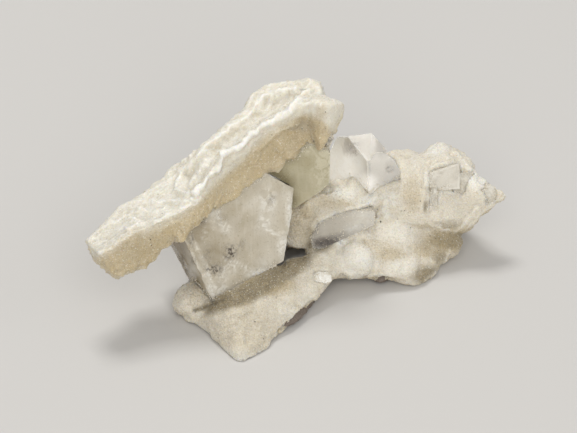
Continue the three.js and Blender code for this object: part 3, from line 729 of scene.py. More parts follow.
# %% Rims on the slab
RIM_WIDTH = 0.42
FOLD_WIDTH = 0.34
VALLEY_GAP = 1.15  # from a rim to the valley beside it
upper = grown_skin("quartz_blade", "drusy_upper_crust", voxel=0.25, smoothing=8)
points, normals, x, h, _ = surface_of(upper)
front = smoothstep(normals @ OUT, -0.1, 0.35)
back = 1 - front
top = smoothstep(normals[:, 2], 0.2, 0.7)
coarse_x, coarse_h = wavered(points, x, h, 0.5, 1.7, (51, 57))
wavy_x, wavy_h = wavered(points, coarse_x, coarse_h, 0.16, 0.7, (53, 59))
to_front = gap_to_line(wavy_x, wavy_h, FRONT_RIM)
to_rear = gap_to_line(wavy_x, wavy_h, REAR_RIM)
to_fold = gap_to_lines(wavy_x, wavy_h, SMALL_FOLDS)
in_trough = inside(wavy_x, wavy_h, FRONT_RIM + REAR_RIM[::-1])
deep = np.where(in_trough, smoothstep(np.minimum(to_front, to_rear), 0, 2.0), 0)
crimped = 0.75 + 0.5 * ripple(points, 1.3, 13)
rims = ridge(to_front, RIM_WIDTH) + 0.6 * ridge(to_rear, RIM_WIDTH)
rims += 0.5 * ridge(to_fold, FOLD_WIDTH)
to_any = np.min([to_front, to_rear, to_fold], axis=0)
valleys = ridge(to_any - VALLEY_GAP, 0.5)
print("corners on a rim:", int((rims > 0.5).sum()))


# %% Fine folds
GRAIN_TURN = math.radians(42)  # the slab's long way on the board


def crimps(points, length, width, seed):
    """Sharp wavy ridges that run along the slab: 1 on a ridge, 0 between them."""
    x, h, d = on_board(points)
    along = x * math.cos(GRAIN_TURN) + h * math.sin(GRAIN_TURN)
    across = h * math.cos(GRAIN_TURN) - x * math.sin(GRAIN_TURN) + 0.9 * ripple(points, 3.5, seed)
    stretched = np.column_stack([along / length, across / width, d / width]) + seed
    wave = np.array([noise.noise(Vector(p)) for p in stretched])
    return (1 - np.clip(np.abs(wave) * 2.4, 0, 1)) ** 2


folds = crimps(points, length=8, width=1.8, seed=31)
fine_folds = crimps(points, length=3.5, width=0.9, seed=37)
print("corners on a fold:", int((folds > 0.5).sum()))

# %% [markdown]
# ## Growing the slab
# Rims rise from the front, the trough sinks between them, and the fine folds run over the top and the
# back. Above the crystals the slab's lower edge hangs over like a brow. It is drawn out and down there,
# because a slab that ended where its solid does would leave a straight dark gap.

# %% Upper crust
SLAB_RELIEF = [(ripple, 0.4, 5.0, 0), (pillows, 0.16, 3.0, 7), (ripple, 0.08, 1.0, 3)]
BROW_REACH = 1.5
growth = layered(points, SLAB_RELIEF, 0.1)
top_folds = top * (0.2 * folds + 0.1 * fine_folds)
growth += front * (0.8 * rims * crimped - 0.25 * valleys - 1.0 * deep) + top_folds
growth += back * (1 - top) * (0.45 * folds + 0.3 * fine_folds + 0.3 * pillows(points, 1.8, 15))
growth += 0.05 * ripple(points, 0.6, 11) + daub(x, h, RAGGED_PLACES) * 0.9 * ripple(points, 1.8, 61)
to_brow = gap_to_lines(wavy_x, wavy_h, BROWS)
draped = ridge(to_brow, BROW_REACH) * smoothstep(normals @ OUT, -0.5, 0.2)
drape = draped[:, None] * (0.9 * OUT - (1.2 + 1.5 * ripple(points, 2.4, 67))[:, None] * UP)
move(upper, grown_against(points + normals * growth[:, None], normals) + drape)
print("growth from", growth.min().round(2), "to", growth.max().round(2), "mm")

# %% [markdown]
# ## Stains on the slab
# The slab is white on top and tan on its side: partly stain, partly painted shade, because the side gets
# less of the light from above. The border is one line on the board, and the white turns tan within a few
# millimetres below it. Undersides, the trough and the valleys beside the rims get more tan as painted
# shade. Rims and fold crests are whitest, as a painted highlight where they catch the light.

# %% Upper crust's stains
WHITE_EDGE = [
    (-43, 24.5), (-38.9, 27.6), (-36.2, 30.6), (-33, 29.8), (-30, 31), (-27, 32.6), (-23, 35.2),
    (-21, 36.6), (-17.6, 40.4), (-12.5, 45), (-7.7, 50), (-3.1, 52.8), (1.3, 55.4), (5, 54.6), (8, 51.6),
]
SLAB_GREYS = [(1.6, 51.6, 2.6, 1.6, 0.4), (-0.6, 51, 1.4, 0.8, 0.5), (-40, 30, 10, 8, 0.25)]
# Tan by the right knob: stain, and painted shade in the gap between the slab and the knob.
KNOB_STAIN_AND_SHADE = [(5.2, 54, 1.4, 4, 0.35), (3.8, 49.6, 2.8, 2.4, 0.5)]
edge_h = np.interp(x, [place[0] for place in WHITE_EDGE], [place[1] for place in WHITE_EDGE])
# The side's tan is stain and painted shade, and undersides get painted shade too.
side_width = np.interp(x, [-32, -20], [3.6, 2.8])  # how softly the white turns tan, mm
side = smoothstep((edge_h - h) / side_width, 0.0, 1)
under = smoothstep(normals[:, 2], 0.15, -0.6)
mottle = 0.5 + 0.5 * ripple(points, 2.6, 21)
tan = np.maximum(front * side * 0.95, 0.7 * under) * (0.85 + 0.25 * mottle)
tan = np.maximum(tan, front * daub(x, h, KNOB_STAIN_AND_SHADE))
tan = np.maximum(tan, 0.5 * back * (1 - top) * smoothstep(ripple(points, 5.0, 25), 0.0, 0.5))
# White on rims and fold crests is painted highlight. Tan in the trough and valleys is painted shade.
white = np.clip(rims * crimped, 0, 1) * front * (1 - side)
paint(upper, "tan", tan + front * (0.15 * deep + 0.12 * valleys * (1 - side)))
paint(upper, "grey", front * daub(x, h, SLAB_GREYS))
paint(upper, "white", white + 0.5 * top * np.maximum(folds, fine_folds))
print("stained corners:", int((tan > 0.2).sum()), "of", len(tan))

# %% [markdown]
# ## The host rock
# A little dark brown rock is left under the crust and carries the resting face. It breaks roughly, so its
# skin gets coarse noise, and it stands a millimetre further out where it peeps from under the crust.

# %% Host rock
ROCK_RELIEF = [(pillows, 0.35, 1.8, 71), (ripple, 0.2, 0.9, 73)]
rock = grown_skin("rock_base", "host_rock", voxel=0.4, smoothing=3)
points, normals, x, h, _ = surface_of(rock)
above = smoothstep(points[:, 2], 0.3, 1.2)
growth = layered(points, ROCK_RELIEF, 0.5)
growth += 1.0 * np.maximum(daub(x, h, THIN_PLACES), smoothstep(gap_to_line(x, h, ROCK_EDGE), 1.6, 0.8))
move(rock, points + normals * (above * growth * (1 - np.abs(normals[:, 2])))[:, None])
print("rock grown by up to", (above * growth).max().round(2), "mm")

# %% [markdown]
# ## Quartz grains
# Close up, the crust sparkles with small quartz points. Bump alone would leave the outline smooth, so
# some thousands of real six-sided points are strewn over each crust. One point is modelled, and the rest
# are turned copies of it, joined into one mesh. Each takes its stain from the spot that it grows on.


# %% Strewing
def painted(piece, name):
    """A mask that was painted on the piece's corners."""
    values = np.empty(len(piece.data.vertices), np.float32)
    piece.data.attributes[name].data.foreach_get("value", values)
    return values


def quartz_point():
    """One six-sided quartz point, 1 wide and pointing up: its corners and faces."""
    shape = bmesh.new()
    bmesh.ops.create_cone(shape, cap_ends=True, segments=6, radius1=0.5, radius2=0.42, depth=0.8)
    top = [face for face in shape.faces if face.normal.z > 0.9]
    tip = bmesh.ops.poke(shape, faces=top)["verts"]
    bmesh.ops.translate(shape, verts=tip, vec=(0, 0, 0.4))
    corners = np.array([vert.co for vert in shape.verts])
    faces = [[vert.index for vert in face.verts] for face in shape.faces]
    shape.free()
    return corners, faces


def stone_chip():
    """One rough chip, 1 wide: its corners and faces."""
    shape = bmesh.new()
    bmesh.ops.create_icosphere(shape, subdivisions=1, radius=0.5)
    corners = np.array([vert.co * (1 + 0.3 * noise.noise(vert.co * 3)) for vert in shape.verts])
    faces = [[vert.index for vert in face.verts] for face in shape.faces]
    shape.free()
    return corners, faces


def strewn(name, template, places, outwards, sizes, lean, seed):
    """Copies of a template at the places, turned at random and leaning from the surface, as one mesh."""
    corners, faces = template
    dice = np.random.default_rng(seed)
    all_corners = []
    all_faces = []
    for i, (place, outward, size) in enumerate(zip(places, outwards, sizes)):
        axis = Vector(outward + lean * dice.normal(size=3)).normalized()
        turn = axis.to_track_quat("Z", "Y").to_matrix() @ Matrix.Rotation(dice.uniform(0, 6.28), 3, "Z")
        all_corners.append(corners @ np.array(turn).T * size + place)
        all_faces += [[index + i * len(corners) for index in face] for face in faces]
    mesh = bpy.data.meshes.new(name)
    mesh.from_pydata((np.concatenate(all_corners) * MM).tolist(), [], all_faces)
    piece = bpy.data.objects.new(name, mesh)
    bpy.context.scene.collection.objects.link(piece)
    print(name, len(places), "pieces,", len(all_faces), "faces")
    return piece


# %% Grains on both crusts
CLEAR_OF_GROUND = 1.0  # no grain stands lower than this, mm
CLEAR_OF_CRYSTAL = 0.55  # or nearer than this to a crystal
GRAIN_SUNK = 0.4  # how deep a grain's middle lies in the crust, in widths of the grain


def sugar_grains(crust, name, count, share, smallest, biggest, seed):
    """Quartz points over a crust, most where `share` is high, and none on the ground or on a crystal."""
    points = points_of(crust)
    normals = normals_of(crust)
    dice = np.random.default_rng(seed)
    chance = np.where(points[:, 2] > CLEAR_OF_GROUND, share, 0)
    picked = dice.choice(len(points), count, replace=False, p=chance / chance.sum())
    near_crystal = [CRYSTAL_FACES.find_nearest(Vector(points[i]), CLEAR_OF_CRYSTAL)[0] for i in picked]
    picked = [i for i, place in zip(picked, near_crystal) if place is None]
    sizes = smallest + (biggest - smallest) * dice.power(0.6, len(picked))
    places = points[picked] - normals[picked] * sizes[:, None] * GRAIN_SUNK
    grains = strewn(name, quartz_point(), places, normals[picked], sizes, 0.45, seed)
    for mask in ("tan", "grey", "white"):
        paint(grains, mask, np.repeat(painted(crust, mask)[picked], len(quartz_point()[0])))
    return grains


PLANK_MIDDLE = (-8, 12, 14, 9, 1)  # a place, as in the masks
lower_x, lower_h, _ = on_board(points_of(lower))
lower_share = np.clip(1 - 1.1 * daub(lower_x, lower_h, CALM_PLACES), 0.04, 1)
lower_share += 0.6 * daub(lower_x, lower_h, [PLANK_MIDDLE] + ROUGH_PLACES)
upper_share = 0.15 + 0.85 * painted(upper, "tan")
lower_grains = sugar_grains(
    lower, "lower_quartz_grains", count=8500, share=lower_share, smallest=0.2, biggest=0.5, seed=5
)
upper_grains = sugar_grains(
    upper, "upper_quartz_grains", count=3600, share=upper_share, smallest=0.18, biggest=0.42, seed=6
)

# %% [markdown]
# ## Sugar on the crystals' feet
# Where a real crystal leaves the crust, a few last quartz points sit on its faces, so the border is
# ragged. A clean line there would look like a cut. Grains are strewn where a crystal's face comes out of
# a crust, and more of them the nearer it is, with noise to leave gaps. A face gets grains by its area,
# because a grain for each face would make rows, and each grain is slid from the face's middle. The dark
# smudges stay free.

# %% Grains on crystals
FAR = 2.0  # mm
graph = bpy.context.evaluated_depsgraph_get()
crust_trees = [BVHTree.FromObject(crust, graph) for crust in (lower, upper)]


def crust_gap(point):
    """How far a point stands out of the nearest crust, in millimetres, up to FAR. Inside, it is below 0."""
    best = FAR
    for tree in crust_trees:
        place, facing, _, gap = tree.find_nearest(Vector(point) * MM, FAR * MM)
        if place is not None and gap < abs(best) * MM:
            best = math.copysign(gap / MM, (Vector(point) * MM - place) @ facing)
    return best


def face_spots(piece):
    """The middle, the way and the area of each of the piece's faces, in millimetres."""
    faces = piece.data.polygons
    middles = np.empty(len(faces) * 3)
    ways = np.empty(len(faces) * 3)
    areas = np.empty(len(faces))
    faces.foreach_get("center", middles)
    faces.foreach_get("normal", ways)
    faces.foreach_get("area", areas)
    return middles.reshape(-1, 3) / MM, ways.reshape(-1, 3), areas / MM**2


GRAINS_TO_MM2 = 30  # right beside the crust
GRAIN_SLIDE = 0.2  # mm
foot_places = []
foot_ways = []
for node, piece in crystals.items():
    middles, ways, areas = face_spots(piece)
    x, h, _ = on_board(middles)
    dice = np.random.default_rng(7)
    gaps = np.array([crust_gap(point) for point in middles])
    near = smoothstep(gaps + 0.7 * ripple(middles, 1.6, 81), 1.1, 0.1)
    near *= (gaps > 0) * (middles[:, 2] > CLEAR_OF_GROUND)
    near *= 1 - daub(x, h, SMUDGES.get(node, NOWHERE))
    picked = dice.random(len(middles)) < near * areas * GRAINS_TO_MM2
    slid = dice.normal(size=middles.shape) * GRAIN_SLIDE
    middles += slid - ways * (slid * ways).sum(axis=1)[:, None]
    print(piece.name, "foot grains:", int(picked.sum()))
    foot_places.append(middles[picked])
    foot_ways.append(ways[picked])
foot_places = np.concatenate(foot_places)
foot_ways = np.concatenate(foot_ways)
sizes = np.random.default_rng(12).uniform(0.15, 0.42, len(foot_places))
foot_roots = foot_places - foot_ways * sizes[:, None] * 0.3
foot_grains = strewn("crystal_foot_grains", quartz_point(), foot_roots, foot_ways, sizes, 0.5, 13)
for name, amount in (("tan", 0.25), ("grey", 0.0), ("white", 0.3)):
    paint(foot_grains, name, np.full(len(foot_grains.data.vertices), amount))

# %% [markdown]
# ## Dark specks
# Some ninety dark mineral specks sit in the crusts. The larger ones have their own places on the board,
# and land where a ray straight down through such a place meets the stone. The small ones fall anywhere.

# %% Specks
NAMED_SPECKS = [
    (18.5, 30.6, 0.5), (17.8, 33.4, 0.26), (23.1, 33, 0.22), (23.8, 33.1, 0.22), (27.3, 35.2, 0.25),
    (22.2, 31.2, 0.2), (25.1, 29.3, 0.22), (29.5, 27.5, 0.3), (-9.2, 8.8, 0.34), (-7.3, 5.1, 0.3),
    (-4.6, 14.1, 0.22), (5.1, 14.7, 0.26), (-31.9, 26.8, 0.3), (-31.7, 25.5, 0.26), (-22.4, 32, 0.24),
    (-20.4, 31.2, 0.2), (-5.5, 49.6, 0.25), (1.1, 51, 0.3), (-0.4, 51.6, 0.22), (2.4, 51.7, 0.22),
    (6.2, 54.6, 0.26), (8.6, 30, 0.2), (30.8, 26.9, 0.25),
]
HIGH_ABOVE = 100  # mm over the board


def seen_on(crusts, x, h):
    """The first spot on the crusts that is met straight down through the board, and the way it faces.

    It comes as a list, which is empty where the ray meets no crust.
    """
    start = Vector(off_board(x, h, HIGH_ABOVE)) * MM
    hits = [tree.ray_cast(start, Vector(-OUT)) for tree in crusts]
    hits = sorted((hit for hit in hits if hit[0] is not None), key=lambda hit: hit[3])
    return [(np.array(place) / MM, np.array(facing)) for place, facing, _, _ in hits[:1]]


landed = []
speck_sizes = []
for x, h, size in NAMED_SPECKS:
    for spot in seen_on(crust_trees, x, h):
        landed.append(spot)
        speck_sizes.append(size)
print("named specks that landed:", len(landed), "of", len(NAMED_SPECKS))
dice = np.random.default_rng(8)
small_specks = []
for crust, count in ((lower, 50), (upper, 24)):
    points = points_of(crust)
    normals = normals_of(crust)
    small_specks += [(points[i], normals[i]) for i in dice.choice(len(points), count, replace=False)]
small_specks = [spot for spot in small_specks if spot[0][2] > CLEAR_OF_GROUND]
places, outwards = zip(*landed, *small_specks)
speck_sizes += list(dice.uniform(0.12, 0.22, len(small_specks)))
specks = strewn("dark_specks", stone_chip(), places, outwards, speck_sizes, 0.3, 9)

# %% [markdown]
# ## Building materials from nodes
# Several stones share the same effects: stains, a sugary relief, clouds inside a crystal, growth lines on
# its faces. Each effect is a shader group with named sockets, built once and placed in each material with
# its own colours. The groups are made from a few small helpers that add one node each.


# %% Node helpers
MIX_A = 6  # the Mix node has sockets for four kinds of value, and these are the colour ones
MIX_B = 7
MIX_RESULT = 2


def feed(tree, socket, value):
    """Gives a socket a link, a colour or a number."""
    if isinstance(value, bpy.types.NodeSocket):
        tree.links.new(value, socket)
    elif isinstance(value, tuple) and len(value) == 3 and socket.type == "RGBA":
        socket.default_value = (*value, 1)
    else:
        socket.default_value = value


def mixed(tree, mask, colour_a, colour_b):
    """Colour a where the mask is 0 and colour b where it is 1."""
    mix = tree.nodes.new("ShaderNodeMix")
    mix.data_type = "RGBA"
    feed(tree, mix.inputs["Factor"], mask)
    feed(tree, mix.inputs[MIX_A], colour_a)
    feed(tree, mix.inputs[MIX_B], colour_b)
    return mix.outputs[MIX_RESULT]


def noise_at(tree, place, scale, detail=4.0, distortion=0.0):
    """A noise value from about 0.2 to 0.8, with about `scale` features in a metre."""
    texture = tree.nodes.new("ShaderNodeTexNoise")
    feed(tree, texture.inputs["Vector"], place)
    texture.inputs["Scale"].default_value = scale
    texture.inputs["Detail"].default_value = detail
    texture.inputs["Distortion"].default_value = distortion
    return texture.outputs["Fac"]


def ranged(tree, value, low, high, to_low=0.0, to_high=1.0):
    """The value spread from low..high to to_low..to_high, and kept within it."""
    spread = tree.nodes.new("ShaderNodeMapRange")
    numbers = {"Value": value, "From Min": low, "From Max": high, "To Min": to_low, "To Max": to_high}
    for socket, number in numbers.items():
        feed(tree, spread.inputs[socket], number)
    return spread.outputs["Result"]


def maths(tree, how, a, b):
    """Two values added, multiplied and so on, kept from 0 to 1."""
    node = tree.nodes.new("ShaderNodeMath")
    node.operation = how
    node.use_clamp = True
    feed(tree, node.inputs[0], a)
    feed(tree, node.inputs[1], b)
    return node.outputs[0]


def brightened(tree, colour, amount):
    """A colour made lighter or darker by an amount around 1."""
    scaled = tree.nodes.new("ShaderNodeVectorMath")
    scaled.operation = "SCALE"
    feed(tree, scaled.inputs[0], colour)
    feed(tree, scaled.inputs["Scale"], amount)
    return scaled.outputs[0]


def relief(tree, height, strength, distance):
    """The surface's normal, tilted as if it had this height."""
    bump = tree.nodes.new("ShaderNodeBump")
    bump.inputs["Distance"].default_value = distance * MM
    feed(tree, bump.inputs["Strength"], strength)
    feed(tree, bump.inputs["Height"], height)
    return bump.outputs["Normal"]


# %% New groups
SOCKET_KINDS = {"colour": "NodeSocketColor", "value": "NodeSocketFloat", "vector": "NodeSocketVector"}


def new_group(name, inputs, outputs):
    """An empty shader group with named sockets, and the two nodes that carry them."""
    tree = bpy.data.node_groups.new(name, "ShaderNodeTree")
    for socket, kind in inputs.items():
        tree.interface.new_socket(socket, in_out="INPUT", socket_type=SOCKET_KINDS[kind])
    for socket, kind in outputs.items():
        tree.interface.new_socket(socket, in_out="OUTPUT", socket_type=SOCKET_KINDS[kind])
    return tree, tree.nodes.new("NodeGroupInput").outputs, tree.nodes.new("NodeGroupOutput").inputs


# %% [markdown]
# ## Stained quartz
# Clean quartz is off-white. Iron has stained it tan in places, dust has greyed it, and the freshest rims
# are nearly white. The tan and grey masks also carry painted shade, and the white one painted highlights.
# The group lays the three painted masks over the clean colour. Three noises break them up: soft blotches a
# few millimetres wide, tan dots like brown sugar, most of them where the stone is tan, and a few tiny
# painted glints of white that stand for sparkle.

# %% Stained stone group
tree, given, result = new_group(
    "stained_stone",
    {
        "Place": "vector", "Clean": "colour", "Tan": "colour", "Grey": "colour", "White": "colour",
        "Tan Mask": "value", "Grey Mask": "value", "White Mask": "value", "Grain": "value",
    },
    {"Colour": "colour"},
)
stained_stone = tree
colour = mixed(tree, given["Tan Mask"], given["Clean"], given["Tan"])
colour = mixed(tree, given["Grey Mask"], colour, given["Grey"])
colour = mixed(tree, given["White Mask"], colour, given["White"])
blotches = ranged(tree, noise_at(tree, given["Place"], scale=420, detail=6), 0.3, 0.7, 0.97, 1.03)
sugar = ranged(tree, noise_at(tree, given["Place"], scale=2700, detail=2), 0.5, 0.64)
staining = maths(tree, "ADD", maths(tree, "MULTIPLY", given["Tan Mask"], 0.8), 0.25)
sugar = maths(tree, "MULTIPLY", maths(tree, "MULTIPLY", sugar, staining), given["Grain"])
dots = brightened(tree, given["Tan"], 0.8)
colour = mixed(tree, sugar, brightened(tree, colour, blotches), dots)
# Painted glints: white specks in the colour that stand for sparkle.
glints = ranged(tree, noise_at(tree, given["Place"], scale=3900, detail=1), 0.64, 0.72, 0, 0.8)
colour = mixed(tree, glints, colour, given["White"])
feed(tree, result["Colour"], colour)
print(tree.name, len(tree.nodes), "nodes")

# %% [markdown]
# ## Sugary relief
# Between the real grains lies a finer one, under half a millimetre. Cells measured by their largest
# coordinate have flat sides, like tiny crystal faces, so a bump from them sparkles where round dimples
# would look waxy. Each cell also gets a roughness of its own, so that some of the tiny faces mirror the
# light and others don't.

# %% Sugary relief group
RELIEF_DEPTH = 0.3  # mm
tree, given, result = new_group(
    "sugary_relief",
    {"Place": "vector", "Scale": "value", "Strength": "value"},
    {"Normal": "vector", "Roughness": "value"},
)
sugary_relief = tree
cells = tree.nodes.new("ShaderNodeTexVoronoi")
cells.distance = "CHEBYCHEV"
feed(tree, cells.inputs["Vector"], given["Place"])
feed(tree, cells.inputs["Scale"], given["Scale"])
fine = noise_at(tree, given["Place"], scale=5200, detail=2)
height = maths(tree, "ADD", cells.outputs["Distance"], maths(tree, "MULTIPLY", fine, 0.4))
feed(tree, result["Normal"], relief(tree, height, given["Strength"], RELIEF_DEPTH))
split = tree.nodes.new("ShaderNodeSeparateColor")
feed(tree, split.inputs["Color"], cells.outputs["Color"])
feed(tree, result["Roughness"], ranged(tree, split.outputs["Red"], 0, 1, 0.22, 0.7))
print(tree.name, len(tree.nodes), "nodes")

# %% [markdown]
# ## Clouds in a crystal
# Apophyllite is clear where it is clean and milky where it is full of tiny bubbles. Real volume
# scattering would show that, but it is slow and can't be baked. So clouds, wisps and fine streaks whiten
# the face's own colour, and the tint holds them off where the crystal is dark. Inner cleavage planes make
# patches a shade lighter or darker. Bubbles and motes are tiny dots, the dust colour darkens the smudges
# (dust, and on the crevice crystal painted shade), and the worn edges turn pale and dull.

# %% Crystal clouds group
tree, given, result = new_group(
    "crystal_clouds",
    {
        "Place": "vector", "Along": "vector",
        "Deep": "colour", "Cloud": "colour", "Tint": "colour", "Dust": "colour", "Worn": "colour",
        "Veil Mask": "value", "Tint Mask": "value", "Dust Mask": "value", "Edge Mask": "value",
        "Gloss": "value",
    },
    {"Colour": "colour", "Roughness": "value"},
)
crystal_clouds = tree
clouds = ranged(tree, noise_at(tree, given["Place"], scale=210, detail=8, distortion=0.5), 0.36, 0.68)
wisps = ranged(tree, noise_at(tree, given["Place"], scale=620, detail=10, distortion=1.4), 0.46, 0.62)
veils = maths(tree, "MULTIPLY", given["Veil Mask"], maths(tree, "ADD", wisps, 0.3))
streaks = noise_at(tree, given["Along"], scale=1300, detail=5, distortion=0.6)
streaks = ranged(tree, streaks, 0.5, 0.68, 0, 0.14)
white = maths(tree, "ADD", maths(tree, "MULTIPLY", clouds, 0.4), veils)
white = maths(tree, "ADD", white, streaks)
kept = maths(tree, "SUBTRACT", 1.0, maths(tree, "MULTIPLY", given["Tint Mask"], 0.85))
white = maths(tree, "MULTIPLY", white, kept)
colour = mixed(tree, given["Tint Mask"], given["Deep"], given["Tint"])
colour = mixed(tree, white, colour, given["Cloud"])
print("clouds", len(tree.nodes), "nodes")

# %% Planes, bubbles and dust
PLANE_SCALE = 330
planes = tree.nodes.new("ShaderNodeTexVoronoi")
planes.distance = "MANHATTAN"
feed(tree, planes.inputs["Vector"], given["Place"])
feed(tree, planes.inputs["Scale"], PLANE_SCALE)
parts = tree.nodes.new("ShaderNodeSeparateColor")
feed(tree, parts.inputs["Color"], planes.outputs["Color"])
shards = ranged(tree, parts.outputs["Red"], 0, 1, 0.965, 1.03)
colour = brightened(tree, colour, shards)
bubbles = ranged(tree, noise_at(tree, given["Place"], scale=3400, detail=2), 0.66, 0.74, 0, 0.6)
colour = mixed(tree, bubbles, colour, given["Worn"])
motes = ranged(tree, noise_at(tree, given["Place"], scale=2500, detail=3), 0.58, 0.72, 0, 0.3)
colour = mixed(tree, motes, colour, given["Tint"])
specked = ranged(tree, noise_at(tree, given["Place"], scale=2000, detail=6, distortion=0.4), 0.42, 0.6)
dust_and_shade = maths(tree, "MULTIPLY", given["Dust Mask"], specked)
colour = mixed(tree, dust_and_shade, colour, given["Dust"])
worn = maths(tree, "MULTIPLY", given["Edge Mask"], 0.4)
feed(tree, result["Colour"], mixed(tree, worn, colour, given["Worn"]))
dull = maths(tree, "ADD", maths(tree, "MULTIPLY", white, 0.12), maths(tree, "ADD", dust_and_shade, worn))
feed(tree, result["Roughness"], maths(tree, "ADD", given["Gloss"], dull))
print(tree.name, len(tree.nodes), "nodes")

# %% [markdown]
# ## Growth lines
# The side faces of apophyllite carry fine lines along the prism and small pits. They are far thinner than
# the mesh, so they are bump: a noise that the material stretches along the lines, and a second, finer
# one.

# %% Growth lines group
tree, given, result = new_group(
    "growth_lines", {"Along": "vector", "Place": "vector", "Strength": "value"}, {"Normal": "vector"}
)
growth_lines = tree
lines = maths(tree, "MULTIPLY", noise_at(tree, given["Along"], scale=480, detail=4), 0.5)
pits = maths(tree, "MULTIPLY", noise_at(tree, given["Place"], scale=1500, detail=3), 0.22)
height = maths(tree, "ADD", lines, pits)
feed(tree, result["Normal"], relief(tree, height, given["Strength"], RELIEF_DEPTH))
print(tree.name, len(tree.nodes), "nodes")

# %% [markdown]
# ## From groups to materials
# A material places the groups, feeds them its colours and the piece's own masks, and wires what they give
# into one Principled shader. A number that is the same all over goes straight onto the shader's socket.


# %% Material helpers
def new_material(name):
    """A material, its tree, its Principled shader and its Object coordinates."""
    material = bpy.data.materials.new(name)
    material.use_nodes = True
    tree = material.node_tree
    shader = tree.nodes["Principled BSDF"]
    place = tree.nodes.new("ShaderNodeTexCoord").outputs["Object"]
    return material, tree, shader, place


def placed(tree, group, **values):
    """A group in a material, its sockets fed by name with spaces written as underscores."""
    node = tree.nodes.new("ShaderNodeGroup")
    node.node_tree = group
    for name, value in values.items():
        feed(tree, node.inputs[name.replace("_", " ")], value)
    return node.outputs


def mask(tree, name):
    """A mask that was painted on the piece's corners."""
    attribute = tree.nodes.new("ShaderNodeAttribute")
    attribute.attribute_name = name
    return attribute.outputs["Fac"]


STONE_IOR = 1.535  # how strongly apophyllite bends light, and quartz nearly the same


def lit_inside(shader, weight, scale, radius=(1.0, 0.85, 0.6)):
    """Light that goes about `scale` mm into the stone and comes out again, red the furthest."""
    shader.inputs["Subsurface Weight"].default_value = weight
    shader.inputs["Subsurface Radius"].default_value = radius
    shader.inputs["Subsurface Scale"].default_value = scale * MM
    shader.inputs["IOR"].default_value = STONE_IOR


# %% [markdown]
# ## The quartz finishes
# The lower crust is creamier than the slab. Both let light a millimetre or two inside, which softens
# their shadows the way wax or sugar does. The strewn grains wear the same colours without that inner
# light: they stand mostly inside the crust, and light that gets lost in there would turn them dark and
# blue.


# %% Quartz and rock
def stone_finish(name, colours, grain=0.8, scale=2400, strength=0.75, inside=(0.6, 1.8)):
    """A grained stone with painted stains. Inside is the share and the depth in mm of the light in it."""
    material, tree, shader, place = new_material(name)
    masks = {"Tan_Mask": mask(tree, "tan"), "Grey_Mask": mask(tree, "grey")}
    masks["White_Mask"] = mask(tree, "white")
    stained = placed(tree, stained_stone, Place=place, Grain=grain, **colours, **masks)
    rough = placed(tree, sugary_relief, Place=place, Scale=scale, Strength=strength)
    tree.links.new(stained["Colour"], shader.inputs["Base Color"])
    tree.links.new(rough["Normal"], shader.inputs["Normal"])
    tree.links.new(rough["Roughness"], shader.inputs["Roughness"])
    lit_inside(shader, *inside)
    print(name)
    return material


def stains(clean, tan, grey, white):
    """A stone's four colours, by the names of the group's sockets."""
    return {"Clean": clean, "Tan": tan, "Grey": grey, "White": white}


NOT_INSIDE = (0.0, 1.0)
# Tan and grey here also serve as painted shade, and white as painted highlight.
CREAM = stains(
    clean=(0.76, 0.715, 0.615), tan=(0.52, 0.43, 0.27), grey=(0.27, 0.225, 0.145), white=(0.88, 0.86, 0.79)
)
SLAB_WHITE = stains(
    clean=(0.735, 0.705, 0.61), tan=(0.56, 0.46, 0.285), grey=(0.45, 0.41, 0.34), white=(0.9, 0.89, 0.84)
)
BROWN = stains(
    clean=(0.17, 0.135, 0.11), tan=(0.2, 0.14, 0.1), grey=(0.1, 0.08, 0.07), white=(0.3, 0.25, 0.2)
)
DARK = (0.1, 0.085, 0.06)
lower_quartz = stone_finish("creamy_quartz", CREAM)
upper_quartz = stone_finish("white_quartz", SLAB_WHITE, grain=0.5, strength=0.45, inside=(0.6, 1.6))
lower_sugar = stone_finish("creamy_sugar", CREAM, inside=NOT_INSIDE)
upper_sugar = stone_finish("white_sugar", SLAB_WHITE, inside=NOT_INSIDE)
brown_rock = stone_finish("brown_rock", BROWN, grain=0.3, scale=1500, inside=NOT_INSIDE)
dark_mineral = stone_finish("dark_mineral", stains(DARK, DARK, DARK, DARK), grain=0.4, inside=NOT_INSIDE)

# %% [markdown]
# ## The crystal finishes
# Full glass would show only the crust behind and go dark at this size. Part of the light passes through,
# part scatters inside, and the clouds carry the rest. The turn sets which way the growth lines run. The
# clear twins lead light down from their roof and give it off in their cloudy foot. The render can't
# follow that light through them, so their veils get a weak glow in its place.


# %% Crystals
LINE_STRETCH = 0.12  # growth lines are this much finer across than along


